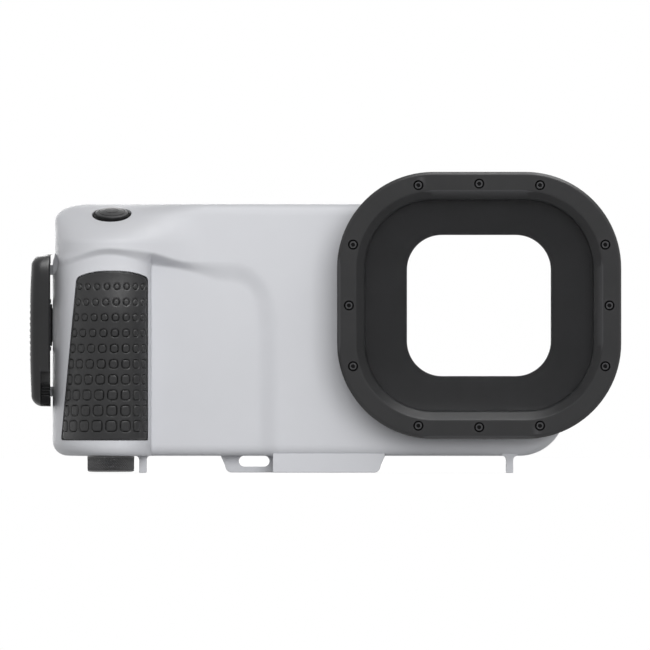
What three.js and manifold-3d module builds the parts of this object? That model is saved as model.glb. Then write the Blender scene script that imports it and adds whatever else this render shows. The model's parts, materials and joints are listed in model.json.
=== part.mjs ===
// Underwater housing for a telephone used as a camera.
// Millimetres, +Z up, lens side facing -Y. A "depth" is a distance forward from the parting plane,
// so it is -Y; the rear door lies behind that plane, at +Y.
import * as THREE from 'three';
import { mergeVertices } from 'three/addons/utils/BufferGeometryUtils.js';
import Module from 'manifold-3d';

// Case outline, seen from the front
const leftReach = 109.2;
const rightReach = 96.4;
const footHeight = 6.8;
const caseHeight = 100.8;
const upperLeftStep = 1;
const topLeftCornerLength = 13;
const topLeftCornerHeight = 6.4;
const topRightCornerRadius = 14;
const bottomLeftCornerRadius = 6;
const bottomRightCornerRadius = 18.6;

// Front face: flat part, finger recess, grip ridge and brow
const frontDepth = 24.8;
const recessDrop = 2.8;
const edgeRadius = 4.6;
const sideDepth = 8;
const ridgeInset = 25.6;
const ridgeToRecess = 14.1;
const gripDepth = 43;
const neckDepth = 36;
const gripShoulderHeight = 55.2;
const neckHeight = 77.2;
const browDepth = 39;
const browHeight = 81.8;
const browCrestInset = 22.4;
const browEdgeFall = 34;
const browFall = 36;
const browSlopeHeight = 15;
const browSlopeDrop = 31;
const browSlopePowerShare = 1.25;
const browSideDrop = 5;
const browStepWidth = 2.6;
const recessRight = 22.8;
const recessTopHeight = 83.2;
const recessCornerRadius = 14.4;
const recessStepWidth = 5.6;
const neckStepExtra = 2.2;
const recessEdgeShare = 0.5;

// Walls and bays
const sideWall = 5.2;
const endWall = 5;
const topWall = 6.6;
const floorWall = 6.4;
const phoneBayDepth = 18.5;
const bayWall = 3;
const boardBayDepth = 17;
const boardBayFloor = 13;
const boardBayRoof = 7.2;
const boardBayWidth = 27.2;
const bayCornerRadius = 6;
const cut = 1;
const clearance = 0.3;
const slimClearance = 0.15;

// Grip cover
const coverThickness = 2;
const coverProud = 0.5;
const coverBottomHeight = 6.5;
const coverTopHeight = 70.6;
const coverArchRise = 3.4;
const coverArchPowerShare = 2.6;
const coverBottomLeftInset = 4;
const coverTopLeftInset = 9.4;
const coverRightInset = 1.6;
const coverCornerRadius = 2.4;

// Port: frame round the flat glass
const portCentreX = 61.6;
const portCentreHeight = 60.2;
const bezelWidth = 113.6;
const bezelHeight = 106.8;
const bezelCornerRadius = 38.4;
const bezelThickness = 5;
const bezelEdgeChamfer = 1;
const bezelFlat = 7.6;
const bezelBevel = 3.4;
const bezelLip = 1.4;
const portFrontDepth = 46;
const portOpeningWidth = 57.6;
const portOpeningHeight = 56.5;
const portOpeningRadius = 14;
const glassThickness = 3;
const glassLedge = 3.1;
const portSealThickness = 1;
const portSealWidth = 2.4;
const hoodWall = 2.4;
const hoodBaseFlange = 5.9;
const hoodRimHeight = 4.4;
const hoodDishDepth = 6.2;
const dishShares = [[0.72, 0.36], [0.4, 0.72], [0.14, 0.93]];
const hoodLipHeight = 0.8;
const hoodSealInset = 1.5;
const hoodSealWidth = 1.6;
const hoodSealThickness = 1;

// Port screws
const screwInset = 4.75;
const screwSideOffset = 24.3;
const screwDrawEnds = 0.6;
const screwDrawSides = 1.65;
const screwHeadRadius = 1.5;
const screwHeadHeight = 1.9;
const screwShankRadius = 0.95;
const screwShankLength = 5.6;
const screwSocketRadius = 0.85;
const screwSocketDepth = 1.1;
const screwBoreRadius = 1.85;
const screwBoreDepth = 2.6;

// Underside: two foot ribs, mount block with strap slot
const footThickness = 2.9;
const footFillet = 1.6;
const footFilletShare = 0.33;
const leftFootInset = 3.45;
const rightFootX = 73.95;
const footBack = 1.5;
const footLength = 26;
const lugLeft = 41.8;
const lugRight = 24;
const lugSlant = 1.8;
const lugCornerRadius = 2.6;
const cornerCutShare = 0.35;
const lugDrop = 6.7;
const lugLength = 22;
const lugPlateLength = 9;
const lugStepX = 20.9;
const slotCentreX = 28.4;
const slotWidth = 12.3;
const slotHeight = 4.4;
const slotBar = 2.3;
const insertRadius = 4;
const insertHeight = 5.4;
const insertCentreX = 4;
const insertBore = 2.65;

// Rear door
const doorThickness = 10;
const windowLeftInset = 3.8;
const windowRightInset = 0.4;
const windowFloorHeight = 13.6;
const windowTopDrop = 7.4;
const windowCornerRadius = 8;
const windowLedge = 2.1;
const windowThickness = 3.6;
const windowSealThickness = 1;
const windowBezelStep = 1;
const doorEdgeChamfer = 1.4;
const doorSealWidth = 2;
const doorSealDepth = 1.8;
const hingeKnuckleRadius = 3.2;
const hingeOffset = 1.5;
const hingePinRadius = 1.5;
const hingeFloorHeight = 16;
const hingeLength = 74;
const hingeKnuckles = 5;
const knuckleGap = 0.4;
const webReach = 1;
const webDepth = 6;

// Rear buttons
const rearButtonInset = 6.4;
const rearButtonLowHeight = 38.2;
const rearButtonPitch = 17;
const rearButtonCount = 3;
const rearButtonRadius = 5.6;
const rearButtonReach = 4;
const rearButtonCapHeight = 6;
const rearWellDepth = 5.5;
const rearCollarRadius = 7.5;
const rearCollarHeight = 1.4;
const buttonTravel = 1.5;
const stemRadius = 1.8;
const clipRadius = 3.4;
const clipThickness = 0.8;
const springInnerRadius = 2.3;
const springOuterRadius = 3.6;
const buttonDome = 0.9;

// Shutter button on the sloping shoulder
const shutterInset = 1.8;
const shutterDepth = 19.5;
const shutterHeight = 95.9;
const shutterTiltDegrees = 18;
const shutterCapRadius = 6.7;
const shutterWall = 0.7;
const shutterSkirtRadius = 7.9;
const shutterSkirtHeight = 1.4;
const shutterCupDepth = 4.6;
const shutterCupFloor = 1;
const shutterSpringHeight = 3;
const shutterCapHeight = 2.3;
const shutterDome = 0.9;
const shutterDomeShares = [[0.92, 0.5], [0.6, 0.9]];
const shutterStemLength = 12;
const shutterSwitchWidth = 6;
const shutterSwitchHeight = 7;

// Control board
const boardThickness = 1.6;
const boardEdge = 1;
const boardBossRadius = 2.6;
const boardBossHeight = 3.2;
const switchWidth = 6;
const switchGap = 0.25;
const boardTopHeight = 77;
const boardBossInset = 3.4;

// Battery, its tube and cap
const batteryInset = 2.1;
const batteryDepth = 28.4;
const batteryRadius = 7.2;
const batteryLength = 50.5;
const batteryNubRadius = 2.6;
const batteryNubHeight = 1;
const contactHeight = 3.6;
const contactRadius = 4.4;
const contactTipShare = 0.33;
const capKnobRadius = 9.4;
const capKnobHeight = 6.4;
const capFlangeRadius = 10.5;
const capFlangeHeight = 0.8;
const capPlugRadius = 8.6;
const capPlugHeight = 6.4;
const capRidges = 24;
const capRidgeHeight = 0.35;
const capSlotWidth = 2;
const capSlotDepth = 1.2;
const capChamfer = 0.7;
const capSealWidth = 1.1;
const capSealHeight = 1.8;
const capSealStart = 2;

// Telephone carrier
const trayThickness = 2.4;
const trayRight = 26;
const trayLip = 3;
const clampWidth = 60;
const clampCentreX = 16;
const clampRestHeight = 17.4;
const clampBar = 5;
const clampFront = 13.6;
const clampBack = 2;
const clampSpringRadius = 2.4;
const clampSpringInset = 9;
const clampWell = 3.2;
const bumperThickness = 2.2;
const bumperHeight = 14;
const bumperFloor = 4;

// Side latch
const latchReach = 9.1;
const latchTop = 80.7;
const latchFloor = 19.8;
const latchGap = 0.8;
const latchPivotOut = 2.6;
const latchPivotBack = 3;
const latchPinRadius = 1;
const latchLength = 27;
const latchSkin = 3.2;
const latchEndWall = 3.6;
const latchEyeRadius = 2.2;
const latchCornerTop = 3.4;
const latchCornerBottom = 4.4;
const latchGripCount = 10;
const latchGripHeight = 24;
const latchGripDepth = 0.5;
const latchRimLength = 6;
const latchBevelShare = 0.35;
const latchEyeShare = 0.7;
const earHeight = 4;
const earLength = 5.6;
const earReach = 4.7;
const earBevelShare = 0.7;
const earFlatShare = 0.2;
const clawHeight = 16.8;
const clawCentreHeight = 52.4;
const clawPlate = 0.9;
const clawForward = 6;
const clawPinRadius = 0.8;
const clawEyeRadius = 1.5;
const clawReach = 12;
const clawWindowReach = 4;
const clawNose = 2.4;
const clawStep = 1.6;
const catchReach = 0.9;
const catchLength = 3;
const catchBack = 5;
const lockWidth = 3.6;
const lockHeight = 8.8;
const lockTravel = 4;
const lockDepth = 5;

// Facets
const cornerSteps = 5;
const fineSteps = 7;
const roundSides = 16;
const smallSides = 12;
const tinySides = 8;
const hexSides = 6;
const flankSteps = 8;
const ridgeSteps = 6;
const faceSteps = 4;
const stepSteps = 3;
const browEdgeSteps = 10;
const coverFlankSteps = 8;
const coverRidgeSteps = 8;

// Derived places
const caseBottom = footHeight;
const caseTop = footHeight + caseHeight;
const ridgeX = -leftReach + ridgeInset;
const recessFoot = ridgeX + ridgeToRecess;
const recessDepth = frontDepth - recessDrop;
const phoneBayLeft = -leftReach + sideWall + boardBayWidth + bayWall;
const phoneBayRight = rightReach - endWall;
const phoneBayTop = caseTop - topWall;
const phoneBayFloor = caseBottom + floorWall;
const boardBayLeft = -leftReach + sideWall;
const boardBayRight = boardBayLeft + boardBayWidth;
const boardBayTop = caseBottom + shutterHeight - boardBayRoof;
const leftFootX = recessFoot - leftFootInset;
const rearButtonX = ridgeX - rearButtonInset;
const shutterX = ridgeX - shutterInset;
const batteryX = ridgeX - batteryInset;
const portZ = caseBottom + portCentreHeight;
const bezelHalfX = bezelWidth / 2;
const bezelHalfZ = bezelHeight / 2;
const openHalfX = portOpeningWidth / 2;
const openHalfZ = portOpeningHeight / 2;
const bezelBack = portFrontDepth - bezelThickness;
const pocketInset = bezelFlat + bezelBevel;
const glassInset = pocketInset - glassLedge;
const hingeX = rightReach + hingeKnuckleRadius + clearance;
const latchInnerX = -leftReach - latchGap;
const latchOuterX = -leftReach - latchReach;
const latchPivotX = -leftReach - latchPivotOut;

const wasm = await Module();
wasm.setup();

// Solids and joins

function solid(geometry) {
  const bare = geometry.index ? geometry.toNonIndexed() : geometry.clone();
  bare.deleteAttribute('normal');
  bare.deleteAttribute('uv');
  const merged = mergeVertices(bare);
  const kept = [];
  const index = merged.index.array;
  for (let i = 0; i < index.length; i += 3) {
    const [a, b, c] = [index[i], index[i + 1], index[i + 2]];
    if (a !== b && b !== c && a !== c) kept.push(a, b, c);
  }
  return new wasm.Manifold(new wasm.Mesh({
    numProp: 3,
    vertProperties: new Float32Array(merged.attributes.position.array),
    triVerts: new Uint32Array(kept),
  }));
}

function geometryOf(body) {
  const mesh = body.getMesh();
  const geometry = new THREE.BufferGeometry();
  geometry.setAttribute('position', new THREE.BufferAttribute(mesh.vertProperties, 3));
  geometry.setIndex(new THREE.BufferAttribute(mesh.triVerts, 1));
  geometry.computeVertexNormals();
  return geometry;
}

function join(first, ...others) {
  return others.reduce((whole, piece) => whole.add(piece), first);
}

function carve(first, ...tools) {
  return tools.reduce((whole, tool) => whole.subtract(tool), first);
}

// Shapes: outlines lie in the x, z plane and are swept along the depth

function roundedRectangle(centreX, centreZ, halfX, halfZ, radius, steps = cornerSteps) {
  const points = [];
  const r = Math.min(radius, halfX, halfZ);
  const corners = [[1, 1, 0], [-1, 1, 1], [-1, -1, 2], [1, -1, 3]];
  for (const [sideX, sideZ, quarter] of corners) {
    for (let i = 0; i <= steps; i += 1) {
      const angle = (quarter + i / steps) * Math.PI / 2;
      points.push(new THREE.Vector2(
        centreX + sideX * (halfX - r) + r * Math.cos(angle),
        centreZ + sideZ * (halfZ - r) + r * Math.sin(angle),
      ));
    }
  }
  return points;
}

function between(left, right, floor, top, radius, steps = cornerSteps) {
  return roundedRectangle((left + right) / 2, (floor + top) / 2, (right - left) / 2, (top - floor) / 2,
    radius, steps);
}

function slab(outline, backDepth, outerDepth) {
  const geometry = new THREE.ExtrudeGeometry(new THREE.Shape(outline), {
    depth: outerDepth - backDepth,
    bevelEnabled: false,
    steps: 1,
  });
  geometry.translate(0, 0, backDepth);
  geometry.rotateX(Math.PI / 2);
  return solid(geometry);
}

function ringSlab(outer, inner, backDepth, outerDepth) {
  return slab(outer, backDepth, outerDepth).subtract(slab(inner, backDepth - cut, outerDepth + cut));
}

// A sweep along z of an outline drawn in x and y
function column(outline, floor, top) {
  const geometry = new THREE.ExtrudeGeometry(new THREE.Shape(outline), {
    depth: top - floor,
    bevelEnabled: false,
    steps: 1,
  });
  geometry.translate(0, 0, floor);
  return solid(geometry);
}

function box(left, right, back, front, floor, top) {
  const geometry = new THREE.BoxGeometry(right - left, front - back, top - floor);
  geometry.translate((left + right) / 2, -(front + back) / 2, (top + floor) / 2);
  return solid(geometry);
}

// A lathe whose profile lists radius and place along +Z
function turned(profile, sides) {
  const geometry = new THREE.LatheGeometry(profile.map(([r, h]) => new THREE.Vector2(r, h)), sides);
  geometry.rotateX(Math.PI / 2);
  return solid(geometry);
}

function post(radius, floor, top, sides = smallSides) {
  return turned([[0, floor], [radius, floor], [radius, top], [0, top]], sides);
}

// Layers of equal-count outlines at given depths, closed by flat ends
function layered(layers) {
  const positions = [];
  const point = (k, i) => {
    const spot = layers[k].outline[i % layers[k].outline.length];
    return [spot.x, -layers[k].depth, spot.y];
  };
  const count = layers[0].outline.length;
  for (let k = 0; k + 1 < layers.length; k += 1) {
    for (let i = 0; i < count; i += 1) {
      const [a, b, c, d] = [point(k, i), point(k, i + 1), point(k + 1, i + 1), point(k + 1, i)];
      positions.push(...a, ...b, ...c, ...a, ...c, ...d);
    }
  }
  const faces = THREE.ShapeUtils.triangulateShape(layers[0].outline, []);
  const last = layers.length - 1;
  for (const [a, b, c] of faces) {
    positions.push(...point(0, a), ...point(0, c), ...point(0, b));
    positions.push(...point(last, a), ...point(last, b), ...point(last, c));
  }
  const geometry = new THREE.BufferGeometry();
  geometry.setAttribute('position', new THREE.Float32BufferAttribute(positions, 3));
  return solid(geometry);
}

// A solid between two depth surfaces over a grid of columns and rows
function fieldSolid(columns, rows, outerDepthAt, innerDepthAt, placeX) {
  const positions = [];
  const spot = (i, j, depthAt) => {
    const z = rows[j];
    const x = placeX ? placeX(columns[i], z) : columns[i];
    return [x, -depthAt(x, z), z];
  };
  const quad = (a, b, c, d) => positions.push(...a, ...b, ...c, ...a, ...c, ...d);
  const lastColumn = columns.length - 1;
  const lastRow = rows.length - 1;
  for (let i = 0; i < lastColumn; i += 1) {
    for (let j = 0; j < lastRow; j += 1) {
      quad(spot(i, j, outerDepthAt), spot(i + 1, j, outerDepthAt),
        spot(i + 1, j + 1, outerDepthAt), spot(i, j + 1, outerDepthAt));
      quad(spot(i, j, innerDepthAt), spot(i, j + 1, innerDepthAt),
        spot(i + 1, j + 1, innerDepthAt), spot(i + 1, j, innerDepthAt));
    }
  }
  const wall = (i, j, m, n) => quad(spot(i, j, innerDepthAt), spot(m, n, innerDepthAt),
    spot(m, n, outerDepthAt), spot(i, j, outerDepthAt));
  for (let i = 0; i < lastColumn; i += 1) {
    wall(i, 0, i + 1, 0);
    wall(i + 1, lastRow, i, lastRow);
  }
  for (let j = 0; j < lastRow; j += 1) {
    wall(lastColumn, j, lastColumn, j + 1);
    wall(0, j + 1, 0, j);
  }
  const geometry = new THREE.BufferGeometry();
  geometry.setAttribute('position', new THREE.Float32BufferAttribute(positions, 3));
  return solid(geometry);
}

// Front surface of the case

function clamp01(value) {
  return Math.min(1, Math.max(0, value));
}

function smooth(value) {
  const t = clamp01(value);
  return t * t * (3 - 2 * t);
}

function quarterRound(value) {
  const t = clamp01(value);
  return Math.sqrt(1 - (1 - t) * (1 - t));
}

function leftSideAt(z) {
  const upper = smooth((z - caseBottom - browHeight + browSideDrop) / browSideDrop);
  let side = -leftReach + upperLeftStep * upper;
  const intoBottom = bottomLeftCornerRadius - (z - caseBottom);
  if (intoBottom > 0) {
    side += bottomLeftCornerRadius * (1 - quarterRound(1 - intoBottom / bottomLeftCornerRadius));
  }
  const intoTop = z - caseTop + topLeftCornerHeight;
  if (intoTop > 0) {
    side += topLeftCornerLength * (1 - quarterRound(1 - intoTop / topLeftCornerHeight));
  }
  return side;
}

function rightSideAt(z) {
  const intoBottom = bottomRightCornerRadius - (z - caseBottom);
  const intoTop = z - caseTop + topRightCornerRadius;
  if (intoBottom > 0) {
    const share = quarterRound(1 - intoBottom / bottomRightCornerRadius);
    return rightReach - bottomRightCornerRadius * (1 - share);
  }
  if (intoTop > 0) {
    const share = quarterRound(1 - intoTop / topRightCornerRadius);
    return rightReach - topRightCornerRadius * (1 - share);
  }
  return rightReach;
}

// Distance inside the right, top and bottom edges, with round right corners
function edgeDistance(x, z) {
  const upper = z > (caseBottom + caseTop) / 2;
  const radius = upper ? topRightCornerRadius : bottomRightCornerRadius;
  const toSide = rightReach - x;
  const toEnd = upper ? caseTop - z : z - caseBottom;
  if (toSide < radius && toEnd < radius) {
    return radius - Math.hypot(radius - toSide, radius - toEnd);
  }
  return Math.min(toSide, toEnd);
}

function edgeRoll(x, z) {
  return edgeRadius * (1 - quarterRound(edgeDistance(x, z) / edgeRadius));
}

function gripRidge(z) {
  const share = smooth((z - caseBottom - gripShoulderHeight) / (neckHeight - gripShoulderHeight));
  return gripDepth - (gripDepth - neckDepth) * share;
}

function browRidge(z) {
  const into = clamp01((z - caseTop + browSlopeHeight) / browSlopeHeight);
  const fall = 1 - (1 - into ** browSlopePowerShare) ** (1 / browSlopePowerShare);
  return browDepth - browSlopeDrop * fall;
}

function leftFlank(x, z, ridgeDepth, inset) {
  const side = leftSideAt(z) + inset;
  const share = quarterRound((x - side) / (ridgeX - side));
  return sideDepth + (ridgeDepth - inset - sideDepth) * share;
}

function gripSurface(x, z, inset = 0) {
  const ridge = gripRidge(z);
  if (x < ridgeX) return leftFlank(x, z, ridge, inset);
  const across = clamp01((x - ridgeX) / (ridgeToRecess - inset));
  return recessDepth + (ridge - inset - recessDepth) * Math.sqrt(1 - across * across);
}

function browSurface(x, z) {
  const ridge = browRidge(z);
  if (x < ridgeX) return leftFlank(x, z, ridge, 0);
  return frontDepth + (ridge - frontDepth) * (1 - smooth((x - ridgeX) / browFall));
}

// Height of the edge between the brow and the grip or recess below it
function browEdgeAt(x) {
  const crest = caseBottom + browHeight;
  const crestX = -leftReach + browCrestInset;
  if (x < crestX) return crest - browSideDrop * smooth((crestX - x) / browCrestInset);
  return crest - (crest - recessTopHeight) * smooth((x - crestX) / browEdgeFall);
}

function recessEdge(x, z) {
  const above = z - browEdgeAt(x);
  const right = x + recessRight;
  const r = recessCornerRadius;
  const corner = Math.hypot(Math.max(above + r, 0), Math.max(right + r, 0)) - r;
  return Math.min(Math.max(above + r, right + r), 0) + corner;
}

function frontSurface(x, z) {
  const below = smooth((browEdgeAt(x) - z) / (recessCornerRadius * 2));
  const beside = 1 - smooth(Math.abs(x - recessFoot) / ridgeToRecess);
  const width = browStepWidth + (recessStepWidth - browStepWidth) * below + neckStepExtra * beside;
  const lower = smooth(recessEdgeShare - recessEdge(x, z) / width);
  const body = browSurface(x, z) + (gripSurface(x, z) - browSurface(x, z)) * lower;
  return Math.max(sideDepth / 2, body - edgeRoll(x, z));
}

function spread(from, to, count, shape = (t) => t) {
  const list = [];
  for (let i = 0; i <= count; i += 1) list.push(from + (to - from) * shape(i / count));
  return list;
}

function caseColumns() {
  const sine = (t) => Math.sin(t * Math.PI / 2);
  const list = [
    ...spread(-leftReach, ridgeX, flankSteps, (t) => 1 - Math.cos(t * Math.PI / 2)),
    ...spread(ridgeX, recessFoot, ridgeSteps, sine).slice(1),
    ...spread(recessFoot, -recessRight - recessCornerRadius, faceSteps).slice(1),
    ...spread(-recessRight - recessCornerRadius, -recessRight - recessStepWidth / 2, stepSteps).slice(1),
    ...spread(-recessRight - recessStepWidth / 2, -recessRight + recessStepWidth / 2, stepSteps).slice(1),
    0,
    ...spread(rightReach - bottomRightCornerRadius, rightReach, cornerSteps, sine),
  ];
  return list;
}

function caseRows() {
  const edgeFloor = caseBottom + browHeight - browSideDrop - recessStepWidth / 2;
  const edgeTop = caseBottom + browHeight + recessStepWidth / 2;
  return [
    ...spread(caseBottom, caseBottom + edgeRadius, faceSteps, (t) => 1 - Math.cos(t * Math.PI / 2)),
    ...spread(caseBottom + edgeRadius, caseBottom + bottomRightCornerRadius, stepSteps).slice(1),
    ...spread(caseBottom + bottomRightCornerRadius, recessTopHeight - recessCornerRadius, faceSteps).slice(1),
    ...spread(recessTopHeight - recessCornerRadius, edgeFloor, faceSteps).slice(1),
    ...spread(edgeFloor, edgeTop, browEdgeSteps).slice(1),
    ...spread(edgeTop, caseTop - edgeRadius, faceSteps).slice(1),
    ...spread(caseTop - edgeRadius, caseTop, faceSteps, (t) => Math.sin(t * Math.PI / 2)).slice(1),
  ];
}

function caseOuter() {
  const placeX = (x, z) => Math.min(Math.max(x, leftSideAt(z)), rightSideAt(z));
  return fieldSolid(caseColumns(), caseRows(), frontSurface, () => 0, placeX);
}

// Outline of the case in the x, z plane, drawn in or out by a margin
function caseOutline(inset) {
  const points = [];
  const left = -leftReach + inset;
  const right = rightReach - inset;
  const floor = caseBottom + inset;
  const top = caseTop - inset;
  const arc = (cx, cz, rx, rz, startQuarter) => {
    for (let i = 0; i <= cornerSteps; i += 1) {
      const angle = (startQuarter + i / cornerSteps) * Math.PI / 2;
      points.push(new THREE.Vector2(cx + rx * Math.cos(angle), cz + rz * Math.sin(angle)));
    }
  };
  const topRight = Math.max(topRightCornerRadius - inset, clearance);
  const topLeft = Math.max(topLeftCornerHeight - inset, clearance);
  const bottomLeft = Math.max(bottomLeftCornerRadius - inset, clearance);
  const bottomRight = Math.max(bottomRightCornerRadius - inset, clearance);
  arc(right - topRight, top - topRight, topRight, topRight, 0);
  arc(left + topLeft, top - topLeft, topLeft, topLeft, 1);
  arc(left + bottomLeft, floor + bottomLeft, bottomLeft, bottomLeft, 2);
  arc(right - bottomRight, floor + bottomRight, bottomRight, bottomRight, 3);
  return points;
}

// Grip cover outline, drawn out by a margin
function coverOutline(margin) {
  const floor = caseBottom + coverBottomHeight - margin;
  const top = caseBottom + coverTopHeight + margin;
  const bottomLeft = -leftReach + coverBottomLeftInset - margin;
  const topLeft = -leftReach + coverTopLeftInset - margin;
  const right = recessFoot - coverRightInset + margin;
  const points = [
    new THREE.Vector2(bottomLeft, floor),
    new THREE.Vector2(right, floor),
    new THREE.Vector2(right, top),
  ];
  for (let i = 1; i < fineSteps; i += 1) {
    const t = i / fineSteps;
    points.push(new THREE.Vector2(right + (topLeft + coverCornerRadius - right) * t,
      top + coverArchRise * (1 - Math.abs(2 * t - 1) ** coverArchPowerShare)));
  }
  points.push(new THREE.Vector2(topLeft + coverCornerRadius, top));
  points.push(new THREE.Vector2(topLeft, top - coverCornerRadius));
  return points;
}

function coverSkin(outerInset, innerInset, margin) {
  const columns = [
    ...spread(-leftReach - clearance, ridgeX, coverFlankSteps, (t) => 1 - Math.cos(t * Math.PI / 2)),
    ...spread(ridgeX, recessFoot + clearance, coverRidgeSteps, (t) => Math.sin(t * Math.PI / 2)).slice(1),
  ];
  const rows = spread(caseBottom + coverBottomHeight - cut, caseBottom + coverTopHeight + coverArchRise + cut,
    fineSteps);
  const outer = outerInset === null
    ? () => gripDepth + cut
    : (x, z) => gripSurface(x, z, outerInset);
  return fieldSolid(columns, rows, outer, (x, z) => gripSurface(x, z, innerInset))
    .intersect(slab(coverOutline(margin), 0, gripDepth + cut + cut));
}

function makeGripCover() {
  return coverSkin(-coverProud, coverThickness, 0);
}

// Hinge

function knuckleSpans(offset) {
  const spans = [];
  const step = hingeLength / hingeKnuckles;
  for (let i = offset; i < hingeKnuckles; i += 2) {
    const floor = caseBottom + hingeFloorHeight + i * step;
    spans.push([floor + knuckleGap / 2, floor + step - knuckleGap / 2]);
  }
  return spans;
}

function circle(centreX, centreY, radius, sides) {
  const points = [];
  for (let i = 0; i < sides; i += 1) {
    const angle = (i / sides) * 2 * Math.PI;
    points.push(new THREE.Vector2(centreX + radius * Math.cos(angle), centreY + radius * Math.sin(angle)));
  }
  return points;
}

function shellKnuckles() {
  return knuckleSpans(0).map(([floor, top]) => join(
    column(circle(hingeX, hingeOffset, hingeKnuckleRadius, smallSides), floor, top),
    box(rightReach - webReach, hingeX, clearance, webDepth, floor, top),
  ));
}

function doorKnuckles() {
  return knuckleSpans(1).map(([floor, top]) => join(
    column(circle(hingeX, hingeOffset, hingeKnuckleRadius, smallSides), floor, top),
    box(rightReach - webReach, hingeX, -hingeOffset - hingeKnuckleRadius, -hingeOffset, floor, top),
  ));
}

function hingeRod(radius, margin) {
  const floor = caseBottom + hingeFloorHeight - margin;
  return column(circle(hingeX, hingeOffset, radius, tinySides), floor, floor + hingeLength + 2 * margin);
}

// Port

function portOutline(inset, steps = cornerSteps) {
  return roundedRectangle(portCentreX, portZ, bezelHalfX - inset, bezelHalfZ - inset,
    bezelCornerRadius - inset, steps);
}

// Outline that changes from the port opening to the pocket edge as share goes from 0 to 1
function dishOutline(share, extra = 0) {
  const halfX = openHalfX + (bezelHalfX - pocketInset - openHalfX) * share + extra;
  const halfZ = openHalfZ + (bezelHalfZ - pocketInset - openHalfZ) * share + extra;
  const radius = portOpeningRadius + (bezelCornerRadius - pocketInset - portOpeningRadius) * share + extra;
  return roundedRectangle(portCentreX, portZ, halfX, halfZ, radius);
}

function hoodBaseOutline(inset) {
  return dishOutline(0, hoodBaseFlange - inset);
}

function screwPlaces() {
  const outX = bezelHalfX - screwInset;
  const outZ = bezelHalfZ - screwInset;
  const places = [];
  for (const side of [-1, 1]) {
    places.push([0, side * outZ], [side * outX, 0]);
    for (const along of [-1, 1]) {
      places.push([along * screwSideOffset, side * (outZ - screwDrawEnds)]);
      places.push([side * (outX - screwDrawSides), along * screwSideOffset]);
    }
  }
  return places.map(([x, z]) => [portCentreX + x, portZ + z]);
}

function screwTool(radius, backDepth, outerDepth, place, sides = hexSides) {
  return post(radius, backDepth, outerDepth, sides).rotate([90, 0, 0]).translate([place[0], 0, place[1]]);
}

function makeBezel() {
  const back = bezelBack;
  const front = portFrontDepth;
  const outer = layered([
    { depth: back, outline: portOutline(0, fineSteps) },
    { depth: front - bezelEdgeChamfer, outline: portOutline(0, fineSteps) },
    { depth: front, outline: portOutline(bezelEdgeChamfer, fineSteps) },
  ]);
  const inner = layered([
    { depth: back - cut, outline: portOutline(pocketInset, fineSteps) },
    { depth: back + bezelLip, outline: portOutline(pocketInset, fineSteps) },
    { depth: front, outline: portOutline(bezelFlat, fineSteps) },
    { depth: front + cut, outline: portOutline(bezelFlat, fineSteps) },
  ]);
  const bores = screwPlaces().flatMap((place) => [
    screwTool(screwBoreRadius, front - screwBoreDepth, front + cut, place, tinySides),
    screwTool(screwShankRadius + clearance, back - cut, front, place),
  ]);
  return carve(outer.subtract(inner), ...bores);
}

function makeScrew(place) {
  const seat = portFrontDepth - screwBoreDepth;
  const head = post(screwHeadRadius, seat, seat + screwHeadHeight, tinySides);
  const shank = post(screwShankRadius, seat - screwShankLength, seat + screwHeadHeight / 2, hexSides);
  const top = seat + screwHeadHeight;
  const socket = post(screwSocketRadius, top - screwSocketDepth, top + cut, hexSides);
  return carve(join(head, shank), socket).rotate([90, 0, 0]).translate([place[0], 0, place[1]]);
}

function glassBack() {
  return bezelBack - glassThickness;
}

function makeHood() {
  const base = frontDepth;
  const rimBack = bezelBack - hoodRimHeight;
  const outer = layered([
    { depth: base, outline: hoodBaseOutline(0) },
    { depth: base + hoodWall, outline: hoodBaseOutline(0) },
    { depth: rimBack, outline: portOutline(0) },
    { depth: bezelBack, outline: portOutline(0) },
  ]);
  const spigot = slab(dishOutline(0, hoodWall), phoneBayDepth + clearance, base + cut);
  const ledge = glassBack() - portSealThickness;
  const rebate = slab(portOutline(glassInset - clearance), ledge, bezelBack + cut);
  const dish = layered([
    { depth: ledge - hoodDishDepth + hoodLipHeight, outline: dishOutline(0) },
    ...dishShares.map(([fall, open]) => ({
      depth: ledge - hoodDishDepth * fall,
      outline: dishOutline(open),
    })),
    { depth: ledge + cut, outline: dishOutline(1) },
  ]);
  const bore = slab(dishOutline(0), phoneBayDepth - cut, bezelBack);
  const shankBores = screwPlaces().map((place) => screwTool(screwShankRadius + slimClearance,
    portFrontDepth - screwBoreDepth - screwShankLength - clearance, bezelBack + cut, place));
  const sealGroove = ringSlab(hoodBaseOutline(hoodSealInset - clearance),
    hoodBaseOutline(hoodSealInset + hoodSealWidth + clearance), base - cut, base + hoodSealThickness);
  return carve(join(outer, spigot), rebate, dish, bore, sealGroove, ...shankBores);
}

function makeHoodGasket() {
  return ringSlab(hoodBaseOutline(hoodSealInset), hoodBaseOutline(hoodSealInset + hoodSealWidth),
    frontDepth, frontDepth + hoodSealThickness - clearance);
}

function makePortSeal() {
  const back = glassBack() - portSealThickness;
  return ringSlab(portOutline(glassInset + clearance), portOutline(glassInset + portSealWidth),
    back, back + portSealThickness);
}

function makePortGlass() {
  return slab(portOutline(glassInset), glassBack(), bezelBack);
}

// Underside

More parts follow.
